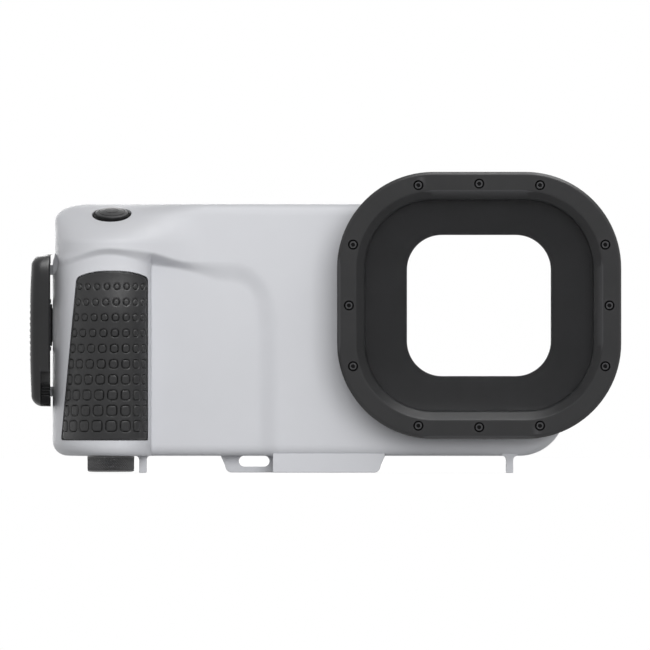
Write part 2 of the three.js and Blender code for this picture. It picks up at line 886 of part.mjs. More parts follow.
function footRib(centreX) {
  const half = footThickness / 2;
  const step = footFillet * footFilletShare;
  const outline = [
    new THREE.Vector2(centreX - half, 0),
    new THREE.Vector2(centreX + half, 0),
    new THREE.Vector2(centreX + half, caseBottom - footFillet),
    new THREE.Vector2(centreX + half + step, caseBottom - step),
    new THREE.Vector2(centreX + half + footFillet, caseBottom),
    new THREE.Vector2(centreX + half + footFillet, caseBottom + cut),
    new THREE.Vector2(centreX - half - footFillet, caseBottom + cut),
    new THREE.Vector2(centreX - half - footFillet, caseBottom),
    new THREE.Vector2(centreX - half - step, caseBottom - step),
    new THREE.Vector2(centreX - half, caseBottom - footFillet),
  ];
  return slab(outline, footBack, footBack + footLength - edgeRadius);
}

function lugOutline(left) {
  const bottom = caseBottom - lugDrop;
  const r = lugCornerRadius;
  return [
    new THREE.Vector2(-left, caseBottom + cut),
    new THREE.Vector2(-left, caseBottom),
    new THREE.Vector2(-left + lugSlant, bottom + r),
    new THREE.Vector2(-left + lugSlant + r * cornerCutShare, bottom + r * cornerCutShare),
    new THREE.Vector2(-left + lugSlant + r, bottom),
    new THREE.Vector2(lugRight - lugSlant - r, bottom),
    new THREE.Vector2(lugRight - lugSlant - r * cornerCutShare, bottom + r * cornerCutShare),
    new THREE.Vector2(lugRight - lugSlant, bottom + r),
    new THREE.Vector2(lugRight, caseBottom),
    new THREE.Vector2(lugRight, caseBottom + cut),
  ];
}

function makeLug() {
  const plate = slab(lugOutline(lugLeft), footBack, footBack + lugPlateLength);
  const front = footBack + lugLength;
  const block = slab(lugOutline(lugLeft), footBack, front)
    .intersect(box(-lugStepX, lugRight + cut, -cut, front + cut, -cut, caseBottom + cut + cut));
  return join(plate, block);
}

function slotTool() {
  const floor = caseBottom - lugDrop + slotBar;
  return slab(between(-slotCentreX - slotWidth / 2, -slotCentreX + slotWidth / 2, floor, floor + slotHeight,
    slotHeight / 2), -cut, footBack + lugPlateLength + cut);
}

function insertY() {
  return -(footBack + lugLength / 2);
}

function makeTripodInsert() {
  const floor = caseBottom - lugDrop;
  const tube = [
    [insertBore, floor], [insertRadius, floor], [insertRadius, floor + insertHeight],
    [insertBore, floor + insertHeight], [insertBore, floor],
  ];
  return turned(tube, smallSides).translate([insertCentreX, insertY(), 0]);
}

// Shutter button, drawn along its own axis, w = 0 at the seat

function placeShutter(body) {
  const seat = [shutterX, -shutterDepth, caseBottom + shutterHeight];
  return body.rotate([shutterTiltDegrees, 0, 0]).translate(seat);
}

function shutterPocket() {
  const cupRadius = shutterCapRadius + clearance + shutterWall + clearance;
  return placeShutter(join(
    post(shutterSkirtRadius + clearance, 0, shutterCapRadius * 2, roundSides),
    post(cupRadius, -shutterCupDepth - clearance, cut, roundSides),
    post(stemRadius + clearance, -shutterStemLength - buttonTravel - clearance, cut, smallSides),
  ));
}

function makeShutterCollar() {
  const inner = shutterCapRadius + clearance;
  const cup = turned([
    [stemRadius + clearance, -shutterCupDepth], [inner + shutterWall, -shutterCupDepth],
    [inner + shutterWall, shutterSkirtHeight], [inner, shutterSkirtHeight],
    [inner, -shutterCupDepth + shutterCupFloor], [stemRadius + clearance, -shutterCupDepth + shutterCupFloor],
    [stemRadius + clearance, -shutterCupDepth],
  ], roundSides);
  const skirt = turned([
    [inner + slimClearance, clearance / 2], [shutterSkirtRadius, clearance / 2],
    [shutterSkirtRadius, shutterSkirtHeight / 2], [inner + shutterWall, shutterSkirtHeight],
    [inner + slimClearance, shutterSkirtHeight], [inner + slimClearance, clearance / 2],
  ], roundSides);
  return placeShutter(join(cup, skirt));
}

function makeShutterButton() {
  const floor = -shutterCupDepth + shutterCupFloor + shutterSpringHeight;
  const rim = floor + shutterCapHeight;
  return placeShutter(join(
    turned([
      [0, floor], [shutterCapRadius, floor], [shutterCapRadius, rim],
      ...shutterDomeShares.map(([out, up]) => [shutterCapRadius * out, rim + shutterDome * up]),
      [0, rim + shutterDome],
    ], roundSides),
    post(stemRadius, -shutterStemLength + clearance, floor + cut, tinySides),
  ));
}

function springSleeve(floor, top) {
  return turned([
    [springInnerRadius, floor], [springOuterRadius, floor], [springOuterRadius, top],
    [springInnerRadius, top], [springInnerRadius, floor],
  ], tinySides);
}

function makeShutterSpring() {
  const floor = -shutterCupDepth + shutterCupFloor;
  return placeShutter(springSleeve(floor + clearance / 2, floor + shutterSpringHeight - clearance / 2));
}

// The switch stands below the stem tip, against the front wall of the board bay
function makeShutterSwitch() {
  const tilt = THREE.MathUtils.degToRad(shutterTiltDegrees);
  const reach = shutterStemLength + buttonTravel;
  const tipHeight = caseBottom + shutterHeight - reach * Math.cos(tilt);
  const front = boardBayDepth - clearance;
  const tipDepth = shutterDepth - reach * Math.sin(tilt);
  const top = tipHeight - stemRadius * Math.sin(tilt);
  return box(shutterX - shutterSwitchWidth / 2, shutterX + shutterSwitchWidth / 2,
    tipDepth - shutterSwitchWidth / 2, front, top - shutterSwitchHeight, top);
}

// Battery tube and cap

function capSeat() {
  return caseBottom + capFlangeHeight;
}

function atBattery(body) {
  return body.translate([batteryX, -batteryDepth, 0]);
}

function batteryFloor() {
  return capSeat() + capPlugHeight + clearance;
}

function batteryBoreTop() {
  return batteryFloor() + batteryLength + batteryNubHeight + contactHeight + clearance;
}

function batteryTools() {
  return atBattery(join(
    post(capFlangeRadius + clearance, -cut, capSeat(), roundSides),
    post(capPlugRadius + clearance, -cut, capSeat() + capPlugHeight + clearance, roundSides),
    post(batteryRadius + clearance, -cut, batteryBoreTop(), roundSides),
  ));
}

function makeBatteryCell() {
  const floor = batteryFloor();
  const top = floor + batteryLength;
  return atBattery(turned([
    [0, floor], [batteryRadius, floor], [batteryRadius, top], [batteryNubRadius, top],
    [batteryNubRadius, top + batteryNubHeight], [0, top + batteryNubHeight],
  ], smallSides));
}

function makeBatteryContact() {
  const top = batteryBoreTop();
  return atBattery(turned([
    [0, top - contactHeight + slimClearance], [contactRadius / 2, top - contactHeight + slimClearance],
    [contactRadius, top - contactHeight * contactTipShare], [contactRadius, top], [0, top],
  ], smallSides));
}

function makeBatteryCap() {
  const knobFloor = capSeat() - capFlangeHeight - capKnobHeight;
  const points = [];
  const steps = capRidges * 2;
  for (let i = 0; i < steps; i += 1) {
    const angle = (i / steps) * 2 * Math.PI;
    const r = capKnobRadius - (i % 2) * capRidgeHeight;
    points.push(new THREE.Vector2(r * Math.cos(angle), r * Math.sin(angle)));
  }
  const knob = column(points, knobFloor, capSeat() - capFlangeHeight + cut / 2).intersect(turned([
    [0, knobFloor], [capKnobRadius - capChamfer, knobFloor], [capKnobRadius, knobFloor + capChamfer],
    [capKnobRadius, capSeat()], [0, capSeat()],
  ], roundSides));
  const plug = capPlugRadius - capSealWidth;
  const grooveFloor = capSeat() + capSealStart - clearance;
  const grooveTop = capSeat() + capSealStart + capSealHeight + clearance;
  const stem = turned([
    [0, capSeat() - capFlangeHeight], [capFlangeRadius, capSeat() - capFlangeHeight],
    [capFlangeRadius, capSeat() - slimClearance], [capPlugRadius, capSeat() - slimClearance],
    [capPlugRadius, grooveFloor], [plug - clearance, grooveFloor],
    [plug - clearance, grooveTop], [capPlugRadius, grooveTop],
    [capPlugRadius, capSeat() + capPlugHeight], [0, capSeat() + capPlugHeight],
  ], roundSides);
  const slot = box(-capKnobRadius - cut, capKnobRadius + cut, -capSlotWidth / 2, capSlotWidth / 2,
    knobFloor - cut, knobFloor + capSlotDepth);
  return atBattery(carve(join(knob, stem), slot));
}

function makeCapSeal() {
  const floor = capSeat() + capSealStart;
  const top = floor + capSealHeight;
  const inner = capPlugRadius - capSealWidth;
  const outer = capPlugRadius + slimClearance;
  return atBattery(turned([
    [inner, floor], [outer, floor], [outer, top], [inner, top], [inner, floor],
  ], roundSides));
}

// Latch ears and pins

function earSpans() {
  const top = caseBottom + latchTop - latchEndWall - clearance;
  const floor = caseBottom + latchFloor + latchEndWall + clearance;
  return [[floor, floor + earHeight], [top - earHeight, top]];
}

function latchEars() {
  return earSpans().map(([floor, top]) => column([
    new THREE.Vector2(-leftReach + sideWall / 2, -latchPivotBack - earLength / 2),
    new THREE.Vector2(-leftReach + sideWall / 2, -clearance),
    new THREE.Vector2(-leftReach - earReach * earBevelShare, -clearance),
    new THREE.Vector2(-leftReach - earReach, -latchPivotBack + earLength * earFlatShare),
    new THREE.Vector2(-leftReach - earReach, -latchPivotBack - earLength * earFlatShare),
    new THREE.Vector2(-leftReach - earReach * earBevelShare, -latchPivotBack - earLength / 2),
  ], floor, top));
}

function latchPinAt(radius, floor, top) {
  return column(circle(latchPivotX, -latchPivotBack, radius, tinySides), floor, top);
}

function makeLatchPins() {
  const [low, high] = earSpans();
  return [
    latchPinAt(latchPinRadius, low[0] - latchEndWall, low[1] - clearance),
    latchPinAt(latchPinRadius, high[0] + clearance, high[1] + latchEndWall),
  ];
}

function latchPinBores(margin) {
  const [low, high] = earSpans();
  return [
    latchPinAt(latchPinRadius + margin, low[0] - latchEndWall - clearance, low[1]),
    latchPinAt(latchPinRadius + margin, high[0], high[1] + latchEndWall + clearance),
  ];
}

// Front shell

function boardBosses() {
  const places = [];
  for (const x of [boardBayLeft + boardBossInset, boardBayRight - boardBossInset]) {
    for (const z of [caseBottom + boardBayFloor + boardBossInset, boardTopHeight - boardBossInset]) {
      places.push(box(x - boardBossRadius, x + boardBossRadius, boardBayDepth - boardBossHeight,
        boardBayDepth + cut, z - boardBossRadius, z + boardBossRadius));
    }
  }
  return places;
}

function makeFrontShell() {
  const feet = [footRib(leftFootX), footRib(rightFootX)];
  const outer = join(caseOuter(), ...feet, makeLug(), ...shellKnuckles(), ...latchEars());
  const phoneBay = slab(between(phoneBayLeft, phoneBayRight, phoneBayFloor, phoneBayTop, bayCornerRadius),
    -cut, phoneBayDepth);
  const boardBay = slab(between(boardBayLeft, boardBayRight, caseBottom + boardBayFloor,
    boardBayTop, bayCornerRadius / 2), -cut, boardBayDepth);
  const portHole = slab(dishOutline(0, hoodWall + clearance), phoneBayDepth - cut, frontDepth + cut);
  const coverPocket = coverSkin(null, coverThickness + clearance, clearance);
  const insertHole = post(insertRadius + slimClearance, -cut, caseBottom - lugDrop + insertHeight + clearance)
    .translate([insertCentreX, insertY(), 0]);
  const rodBore = hingeRod(hingePinRadius + slimClearance, cut);
  const hollow = carve(outer, phoneBay, boardBay, portHole, coverPocket, batteryTools(), slotTool(),
    insertHole, shutterPocket(), rodBore, ...latchPinBores(slimClearance));
  return join(hollow, ...boardBosses());
}

// Rear door

function windowOutline(margin) {
  return between(phoneBayLeft + windowLeftInset - margin, phoneBayRight - windowRightInset + margin,
    caseBottom + windowFloorHeight - margin, caseTop - windowTopDrop + margin, windowCornerRadius + margin);
}

function sealOutline(inset) {
  return between(boardBayLeft - sideWall / 2 - doorSealWidth / 2 + inset,
    phoneBayRight + endWall / 2 + doorSealWidth / 2 - inset,
    caseBottom + floorWall / 2 - doorSealWidth / 2 + inset,
    phoneBayTop + topWall / 2 + doorSealWidth / 2 - inset, bottomRightCornerRadius - endWall / 2 - inset);
}

function rearButtonHeights() {
  const list = [];
  for (let i = 0; i < rearButtonCount; i += 1) {
    list.push(caseBottom + rearButtonLowHeight + i * rearButtonPitch);
  }
  return list;
}

// A body drawn along +Z, turned so that it points backwards, at a rear button
function atRearButton(body, z) {
  return body.rotate([-90, 0, 0]).translate([rearButtonX, 0, z]);
}

function makeDoorFrame() {
  const slabOuter = layered([
    { depth: -doorThickness, outline: caseOutline(doorEdgeChamfer) },
    { depth: -doorThickness + doorEdgeChamfer, outline: caseOutline(0) },
    { depth: 0, outline: caseOutline(0) },
  ]);
  const ledge = -doorThickness + windowBezelStep + windowThickness + windowSealThickness;
  const opening = slab(windowOutline(0), -doorThickness - cut, cut);
  const rebate = slab(windowOutline(windowLedge), -doorThickness - cut, ledge);
  const groove = ringSlab(sealOutline(-clearance), sealOutline(doorSealWidth + clearance),
    -doorSealDepth - clearance, cut);
  const wellFloor = doorThickness - rearWellDepth;
  const wells = rearButtonHeights().flatMap((z) => [
    atRearButton(post(rearButtonRadius + clearance, wellFloor, doorThickness + cut, roundSides), z),
    atRearButton(post(stemRadius + clearance, -cut, doorThickness, smallSides), z),
  ]);
  return carve(join(slabOuter, ...doorKnuckles()), opening, rebate, groove, ...wells,
    hingeRod(hingePinRadius + clearance, cut));
}

function makeWindowSeal() {
  const back = -doorThickness + windowThickness + windowBezelStep;
  return ringSlab(windowOutline(windowLedge - clearance), windowOutline(clearance), back,
    back + windowSealThickness);
}

function makeDoorWindow() {
  const back = -doorThickness + windowBezelStep;
  return slab(windowOutline(windowLedge - clearance), back, back + windowThickness);
}

function makeWindowBezel() {
  return ringSlab(windowOutline(windowLedge - clearance), windowOutline(0), -doorThickness - clearance,
    -doorThickness + windowBezelStep);
}

function makeDoorSeal() {
  return ringSlab(sealOutline(0), sealOutline(doorSealWidth), -doorSealDepth, 0);
}

function makeDoorCatch() {
  const half = clawHeight / 2 - clawStep;
  return box(-leftReach - catchReach, -leftReach, -catchBack - catchLength, -catchBack,
    caseBottom + clawCentreHeight - half, caseBottom + clawCentreHeight + half);
}

function makeRearCollar(z) {
  const inner = rearButtonRadius + clearance;
  const floor = doorThickness;
  return atRearButton(turned([
    [inner, floor], [rearCollarRadius, floor], [rearCollarRadius, floor + rearCollarHeight / 2],
    [rearCollarRadius - rearCollarHeight / 2, floor + rearCollarHeight], [inner, floor + rearCollarHeight],
    [inner, floor],
  ], roundSides), z);
}

function makeRearButton(z) {
  const top = doorThickness + rearButtonReach;
  const floor = top - rearButtonCapHeight;
  const tip = -(boardFace() - switchHeight() - buttonTravel - clearance);
  return atRearButton(join(
    turned([
      [0, floor], [rearButtonRadius, floor], [rearButtonRadius, top - buttonDome],
      [rearButtonRadius - buttonDome, top], [0, top],
    ], roundSides),
    post(stemRadius, tip, floor + cut, tinySides),
  ), z);
}

function makeRearClip(z) {
  return atRearButton(turned([
    [stemRadius + slimClearance, -clearance - clipThickness], [clipRadius, -clearance - clipThickness],
    [clipRadius, -clearance], [stemRadius + slimClearance, -clearance],
    [stemRadius + slimClearance, -clearance - clipThickness],
  ], smallSides), z);
}

function makeRearSpring(z) {
  const floor = doorThickness - rearWellDepth + slimClearance;
  const top = doorThickness + rearButtonReach - rearButtonCapHeight - slimClearance;
  return atRearButton(springSleeve(floor, top), z);
}

// Inside

function boardFace() {
  return boardBayDepth - boardBossHeight - boardThickness;
}

function switchHeight() {
  return boardThickness * 2 + switchGap;
}

function makeControlBoard() {
  const face = boardFace();
  const board = slab(between(boardBayLeft + boardEdge, boardBayRight - boardEdge,
    caseBottom + boardBayFloor + boardEdge, boardTopHeight, boardEdge), face, face + boardThickness);
  const half = switchWidth / 2;
  const switches = rearButtonHeights().map((z) => box(rearButtonX - half, rearButtonX + half,
    face - switchHeight(), face + cut / 2, z - half, z + half));
  return join(board, ...switches);
}

function makePhoneTray() {
  const front = phoneBayDepth - clearance;
  const left = phoneBayLeft + clearance;
  const plate = slab(between(left, trayRight, phoneBayFloor + clearance, phoneBayTop - clearance,
    bayCornerRadius), front - trayThickness, front);
  const relief = slab(between(left + trayLip * 2, trayRight - trayLip * 2, phoneBayFloor + trayLip * 4,
    phoneBayTop - trayLip * 4, bayCornerRadius), front - trayThickness - cut, front - trayThickness / 2);
  const lip = box(left, left + trayLip / 2, clampBack, front, phoneBayFloor + bayCornerRadius * 2,
    phoneBayTop - bayCornerRadius * 2);
  return join(carve(plate, relief), lip);
}

function clampSpringPlaces() {
  const half = clampWidth / 2 - clampSpringInset;
  return [-clampCentreX - half, -clampCentreX + half];
}

function makeClamp() {
  const floor = caseBottom + clampRestHeight;
  const bar = box(-clampCentreX - clampWidth / 2, -clampCentreX + clampWidth / 2, clampBack, clampFront,
    floor, floor + clampBar);
  const lip = box(-clampCentreX - clampWidth / 2, -clampCentreX + clampWidth / 2, clampFront - trayLip / 2,
    clampFront, floor, floor + clampBar + trayLip);
  const well = post(clampSpringRadius + clearance, floor - cut, floor + clampWell);
  const wells = clampSpringPlaces().map((x) => well.translate([x, -(clampFront + clampBack) / 2, 0]));
  return carve(join(bar, lip), ...wells);
}

function makeClampSpring(x) {
  const floor = phoneBayFloor + slimClearance;
  const top = caseBottom + clampRestHeight + clampWell - slimClearance;
  const inner = clampSpringRadius / 2;
  return turned([
    [inner, floor], [clampSpringRadius, floor], [clampSpringRadius, top], [inner, top], [inner, floor],
  ], tinySides).translate([x, -(clampFront + clampBack) / 2, 0]);
}

function makeBumper() {
  const floor = phoneBayFloor + bayCornerRadius + bumperFloor;
  return slab(between(phoneBayRight - bumperThickness - clearance, phoneBayRight - clearance / 2, floor,
    floor + bumperHeight, bumperThickness / 2), clampBack, clampFront);
}

// Latch

function leverOutline() {
  const front = -latchLength;
  const back = -latchPivotBack;
  const outer = latchOuterX;
  return [
    new THREE.Vector2(latchInnerX, back),
    new THREE.Vector2(latchPivotX + latchEyeRadius * latchEyeShare, back + latchEyeRadius * latchEyeShare),
    new THREE.Vector2(latchPivotX, back + latchEyeRadius),
    new THREE.Vector2(outer + latchSkin, back + latchEyeRadius),
    new THREE.Vector2(outer + latchSkin * latchBevelShare, back - latchEyeRadius * latchBevelShare),
    new THREE.Vector2(outer, back - latchSkin),
    new THREE.Vector2(outer, front + latchSkin),
    new THREE.Vector2(outer + latchSkin * latchBevelShare, front + latchSkin * latchBevelShare),
    new THREE.Vector2(outer + latchSkin, front),
    new THREE.Vector2(latchInnerX - latchSkin * latchBevelShare, front),
    new THREE.Vector2(latchInnerX, front + latchSkin * latchBevelShare),
  ];
}

function leverFrontView() {
  const floor = caseBottom + latchFloor;
  const top = caseBottom + latchTop;
  const points = [new THREE.Vector2(latchInnerX + cut, floor), new THREE.Vector2(latchInnerX + cut, top)];
  for (let i = 0; i <= cornerSteps; i += 1) {
    const angle = (1 + i / cornerSteps) * Math.PI / 2;
    points.push(new THREE.Vector2(latchOuterX + latchCornerTop + latchCornerTop * Math.cos(angle),
      top - latchCornerTop + latchCornerTop * Math.sin(angle)));
  }
  for (let i = 0; i <= cornerSteps; i += 1) {
    const angle = (2 + i / cornerSteps) * Math.PI / 2;
    points.push(new THREE.Vector2(latchOuterX + latchCornerBottom + latchCornerBottom * Math.cos(angle),
      floor + latchCornerBottom + latchCornerBottom * Math.sin(angle)));
  }
  return points;
}

function makeLever() {
  const floor = caseBottom + latchFloor;
  const top = caseBottom + latchTop;
  const whole = column(leverOutline(), floor, top)
    .intersect(slab(leverFrontView(), 0, latchLength + cut));
  const trough = box(latchOuterX + latchSkin, latchInnerX + cut, -cut, latchLength - latchRimLength,
    floor + latchEndWall, top - latchEndWall);
  const lockSlot = box(latchInnerX - lockWidth - clearance, latchInnerX + cut,
    latchLength - lockDepth - clearance, latchLength + cut,
    floor + clearance, floor + lockHeight + lockTravel + clearance * 4);
  const grooves = [];
  const pitch = latchGripHeight / latchGripCount;
  const middle = (floor + top) / 2;
  for (let i = 0; i < latchGripCount; i += 1) {
    const z = middle - latchGripHeight / 2 + (i + 0.5) * pitch;
    grooves.push(box(latchOuterX - cut, latchOuterX + latchGripDepth, latchPivotBack + latchSkin,
      latchLength + cut, z - pitch / 4, z + pitch / 4));
  }
  const reach = clawHeight / 2 + clawStep;
  const clawBore = column(circle(...clawPivot(), clawPinRadius + slimClearance, tinySides),
    caseBottom + clawCentreHeight - reach, caseBottom + clawCentreHeight + reach);
  const body = carve(whole, trough, clawWindow());
  return carve(join(body, ...leverLugs()), lockSlot, ...grooves, clawBore, ...latchPinBores(clearance));
}

function clawPivot() {
  return [-leftReach - clearance - clawEyeRadius, -latchPivotBack - clawForward];
}

// The claw swings out through this window in the outer skin as the lever opens
function clawWindow() {
  const half = clawHeight / 2 + clearance;
  const middle = caseBottom + clawCentreHeight;
  return box(latchOuterX - cut, latchOuterX + latchSkin + cut, -latchEyeRadius,
    latchPivotBack + clawForward + clawWindowReach, middle - half, middle + half);
}

// Two lugs inside the lever carry the pin of the claw
function leverLugs() {
  const middle = caseBottom + clawCentreHeight;
  const half = clawHeight / 2 + clearance;
  const [x, y] = clawPivot();
  return [-1, 1].map((side) => {
    const near = middle + side * half;
    const far = middle + side * (half + clawStep);
    return box(latchOuterX + latchSkin - cut, x + clawEyeRadius - clearance,
      -y - clawEyeRadius, -y + clawEyeRadius, Math.min(near, far), Math.max(near, far));
  });
}

function makeClawPin() {
  const middle = caseBottom + clawCentreHeight;
  const half = clawHeight / 2 + clawStep;
  const [x, y] = clawPivot();
  return column(circle(x, y, clawPinRadius, tinySides), middle - half, middle + half);
}

function makeClaw() {
  const [x, y] = clawPivot();
  const inner = -leftReach - clearance;
  const outer = inner - clawPlate;
  const middle = caseBottom + clawCentreHeight;
  const floor = middle - clawHeight / 2;
  const top = middle + clawHeight / 2;
  const rear = clawReach - latchPivotBack;
  const bend = catchBack - clearance - clawPlate;
  const lift = catchReach + clearance;
  const strap = column([
    new THREE.Vector2(inner, y),
    new THREE.Vector2(inner, bend),
    new THREE.Vector2(inner - lift, bend + clearance),
    new THREE.Vector2(inner - lift, rear),
    new THREE.Vector2(inner - lift - clawNose, rear),
    new THREE.Vector2(inner - lift - clawNose, rear - clawNose),
    new THREE.Vector2(inner - lift - clawPlate, rear - clawNose),
    new THREE.Vector2(inner - lift - clawPlate, bend + clawPlate),
    new THREE.Vector2(outer, bend - clearance),
    new THREE.Vector2(outer, y),
  ].reverse(), floor, top);
  const eye = column(circle(x, y, clawEyeRadius, smallSides), floor, top);
  const bore = column(circle(x, y, clawPinRadius + slimClearance, tinySides), floor - cut, top + cut);
  return carve(join(strap, eye), bore);
}

function makeLock() {
  const floor = caseBottom + latchFloor + clearance * 2;
  return box(latchInnerX - lockWidth, latchInnerX, latchLength - lockDepth, latchLength - clearance,
    floor, floor + lockHeight);
}

// Finishes

const finishes = {
  shell: { color: 0xd2d4d6, roughness: 0.38, metalness: 0 },
  blackPlastic: { color: 0x2f3031, roughness: 0.45, metalness: 0 },
  bezelMetal: { color: 0x38393a, roughness: 0.42, metalness: 0.3 },
  rubber: { color: 0x262728, roughness: 0.7, metalness: 0 },
  seal: { color: 0x1c1c1d, roughness: 0.6, metalness: 0 },
  glass: { color: 0xe9f0f2, roughness: 0.03, metalness: 0, transparent: true, opacity: 0.25 },
  steel: { color: 0xb8babc, roughness: 0.3, metalness: 1 },
  darkSteel: { color: 0x222324, roughness: 0.4, metalness: 0.8 },
  brass: { color: 0xb08d4a, roughness: 0.35, metalness: 1 },
  board: { color: 0x1f4a38, roughness: 0.5, metalness: 0 },
  cell: { color: 0x565a60, roughness: 0.35, metalness: 0.3 },
};

const housing = new THREE.Group();

function add(name, body, finish) {
  const mesh = new THREE.Mesh(geometryOf(body), new THREE.MeshStandardMaterial(finishes[finish]));
  mesh.name = name;
  housing.add(mesh);
}

function addCase() {
  add('front_shell', makeFrontShell(), 'shell');
  add('grip_cover', makeGripCover(), 'rubber');
  add('tripod_insert', makeTripodInsert(), 'brass');
  add('hinge_pin', hingeRod(hingePinRadius, 0), 'steel');
  add('latch_pin_low', makeLatchPins()[0], 'brass');
  add('latch_pin_high', makeLatchPins()[1], 'brass');
}

function addPort() {
  add('port_hood', makeHood(), 'blackPlastic');
  add('hood_gasket', makeHoodGasket(), 'seal');
  add('port_seal', makePortSeal(), 'seal');
  add('port_glass', makePortGlass(), 'glass');
  add('port_bezel', makeBezel(), 'bezelMetal');
  screwPlaces().forEach((place, index) => {
    add(`port_screw_${String(index + 1).padStart(2, '0')}`, makeScrew(place), 'darkSteel');
  });
}

function addInside() {
  add('shutter_switch', makeShutterSwitch(), 'blackPlastic');
  add('control_board', makeControlBoard(), 'board');
  add('battery_cell', makeBatteryCell(), 'cell');
  add('battery_contact', makeBatteryContact(), 'steel');
  add('phone_tray', makePhoneTray(), 'blackPlastic');
  add('phone_bumper', makeBumper(), 'rubber');
  add('phone_clamp', makeClamp(), 'blackPlastic');
  clampSpringPlaces().forEach((x, index) => add(`clamp_spring_${index + 1}`, makeClampSpring(x), 'steel'));
}

function addControls() {
  add('shutter_collar', makeShutterCollar(), 'blackPlastic');
  add('shutter_spring', makeShutterSpring(), 'steel');
  add('shutter_button', makeShutterButton(), 'blackPlastic');
  add('battery_cap', makeBatteryCap(), 'blackPlastic');
  add('cap_seal', makeCapSeal(), 'seal');
}

function addDoor() {
  add('door_frame', makeDoorFrame(), 'shell');
  add('door_window', makeDoorWindow(), 'glass');
  add('window_seal', makeWindowSeal(), 'seal');
  add('window_bezel', makeWindowBezel(), 'blackPlastic');
  add('door_seal', makeDoorSeal(), 'seal');
  add('door_catch', makeDoorCatch(), 'steel');
  rearButtonHeights().forEach((z, index) => {
    add(`rear_collar_${index + 1}`, makeRearCollar(z), 'blackPlastic');
    add(`rear_button_${index + 1}`, makeRearButton(z), 'blackPlastic');
    add(`rear_clip_${index + 1}`, makeRearClip(z), 'steel');
    add(`rear_spring_${index + 1}`, makeRearSpring(z), 'steel');
  });
}

function addLatch() {
  add('latch_lever', makeLever(), 'blackPlastic');
  add('latch_claw', makeClaw(), 'darkSteel');
  add('latch_claw_pin', makeClawPin(), 'steel');
  add('latch_lock', makeLock(), 'blackPlastic');
}

addCase();
addPort();
addInside();
addControls();
addDoor();
addLatch();

// The origin is the middle of the footprint, on the surface that the feet stand on
const reach = new THREE.Box3().setFromObject(housing);
const middle = reach.getCenter(new THREE.Vector3());
housing.position.set(-middle.x, -middle.y, -reach.min.z);

export default housing;
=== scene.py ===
# Looks of the underwater telephone housing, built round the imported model.
# Points are written in millimetres as x, depth, z: depth runs forward from the parting plane.
import json
import math

import bmesh
import bpy
import numpy as np
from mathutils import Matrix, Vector


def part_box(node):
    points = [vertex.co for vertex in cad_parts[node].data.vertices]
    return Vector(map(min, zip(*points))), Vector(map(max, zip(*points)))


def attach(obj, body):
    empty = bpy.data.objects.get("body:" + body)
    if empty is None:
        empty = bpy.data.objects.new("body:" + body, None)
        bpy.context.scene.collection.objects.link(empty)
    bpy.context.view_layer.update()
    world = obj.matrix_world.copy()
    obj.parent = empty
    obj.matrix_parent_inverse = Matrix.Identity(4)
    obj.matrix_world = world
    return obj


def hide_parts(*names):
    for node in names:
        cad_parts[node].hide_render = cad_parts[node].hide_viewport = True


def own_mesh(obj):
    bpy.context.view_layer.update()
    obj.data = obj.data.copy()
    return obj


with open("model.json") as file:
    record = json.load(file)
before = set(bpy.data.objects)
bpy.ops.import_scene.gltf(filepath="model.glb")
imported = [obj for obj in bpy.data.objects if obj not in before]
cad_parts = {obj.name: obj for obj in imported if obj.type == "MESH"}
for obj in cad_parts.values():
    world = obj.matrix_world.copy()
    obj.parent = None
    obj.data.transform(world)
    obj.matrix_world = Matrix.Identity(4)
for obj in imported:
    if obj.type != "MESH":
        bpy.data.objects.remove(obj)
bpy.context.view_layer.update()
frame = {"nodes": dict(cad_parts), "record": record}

MM = 0.001

# Case outline and front face, as in the part's source
LEFT_REACH = 109.2
RIGHT_REACH = 96.4
CASE_BOTTOM = 6.8
CASE_TOP = 107.6
UPPER_LEFT_STEP = 1.0
TOP_LEFT_LENGTH = 13.0
TOP_LEFT_HEIGHT = 6.4
TOP_RIGHT_RADIUS = 14.0
BOTTOM_LEFT_RADIUS = 6.0
BOTTOM_RIGHT_RADIUS = 18.6
FRONT_DEPTH = 24.8
RECESS_DEPTH = 22.0
EDGE_RADIUS = 4.6
SIDE_DEPTH = 8.0
RIDGE_X = -83.6
RIDGE_TO_RECESS = 14.1
RECESS_FOOT = RIDGE_X + RIDGE_TO_RECESS
GRIP_DEPTH = 43.0
NECK_DEPTH = 36.0
GRIP_SHOULDER = 55.2
NECK_HEIGHT = 77.2
BROW_DEPTH = 39.0
BROW_HEIGHT = 81.8
BROW_CREST_INSET = 22.4
BROW_EDGE_FALL = 34.0
BROW_FALL = 36.0
BROW_SLOPE_HEIGHT = 15.0
BROW_SLOPE_DROP = 31.0
BROW_SLOPE_POWER = 1.25
BROW_SIDE_DROP = 5.0
BROW_STEP = 3.2
RECESS_RIGHT = 22.8
RECESS_TOP = 83.2
RECESS_CORNER = 14.4
RECESS_BAND = 5.6
BROW_CREST_BAND = 3.0
RECESS_SPREAD = 6.2
NECK_STEP_EXTRA = 2.2
GAP = 0.3
OVERRUN = 1.0

# Port
PORT_X = 61.6
PORT_Z = 67.0
BEZEL_HALF = (56.8, 53.4)
BEZEL_RADIUS = 38.4
PORT_FRONT = 46.0
OPEN_HALF = (28.8, 28.25)
OPEN_RADIUS = 14.0
POCKET_INSET = 11.0
PORT_STEPS = 16
PORT_RUNS = 8

bezel_low, bezel_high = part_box("port_bezel")
SHIFT_X = (bezel_low[0] + bezel_high[0]) / 2 / MM - PORT_X
SHIFT_Y = bezel_low[1] / MM + PORT_FRONT


def to_world(points):
    spots = np.asarray(points, dtype=float)
    return np.column_stack([spots[:, 0] + SHIFT_X, SHIFT_Y - spots[:, 1], spots[:, 2]]) * MM


# Meshes

WELD = 0.0005


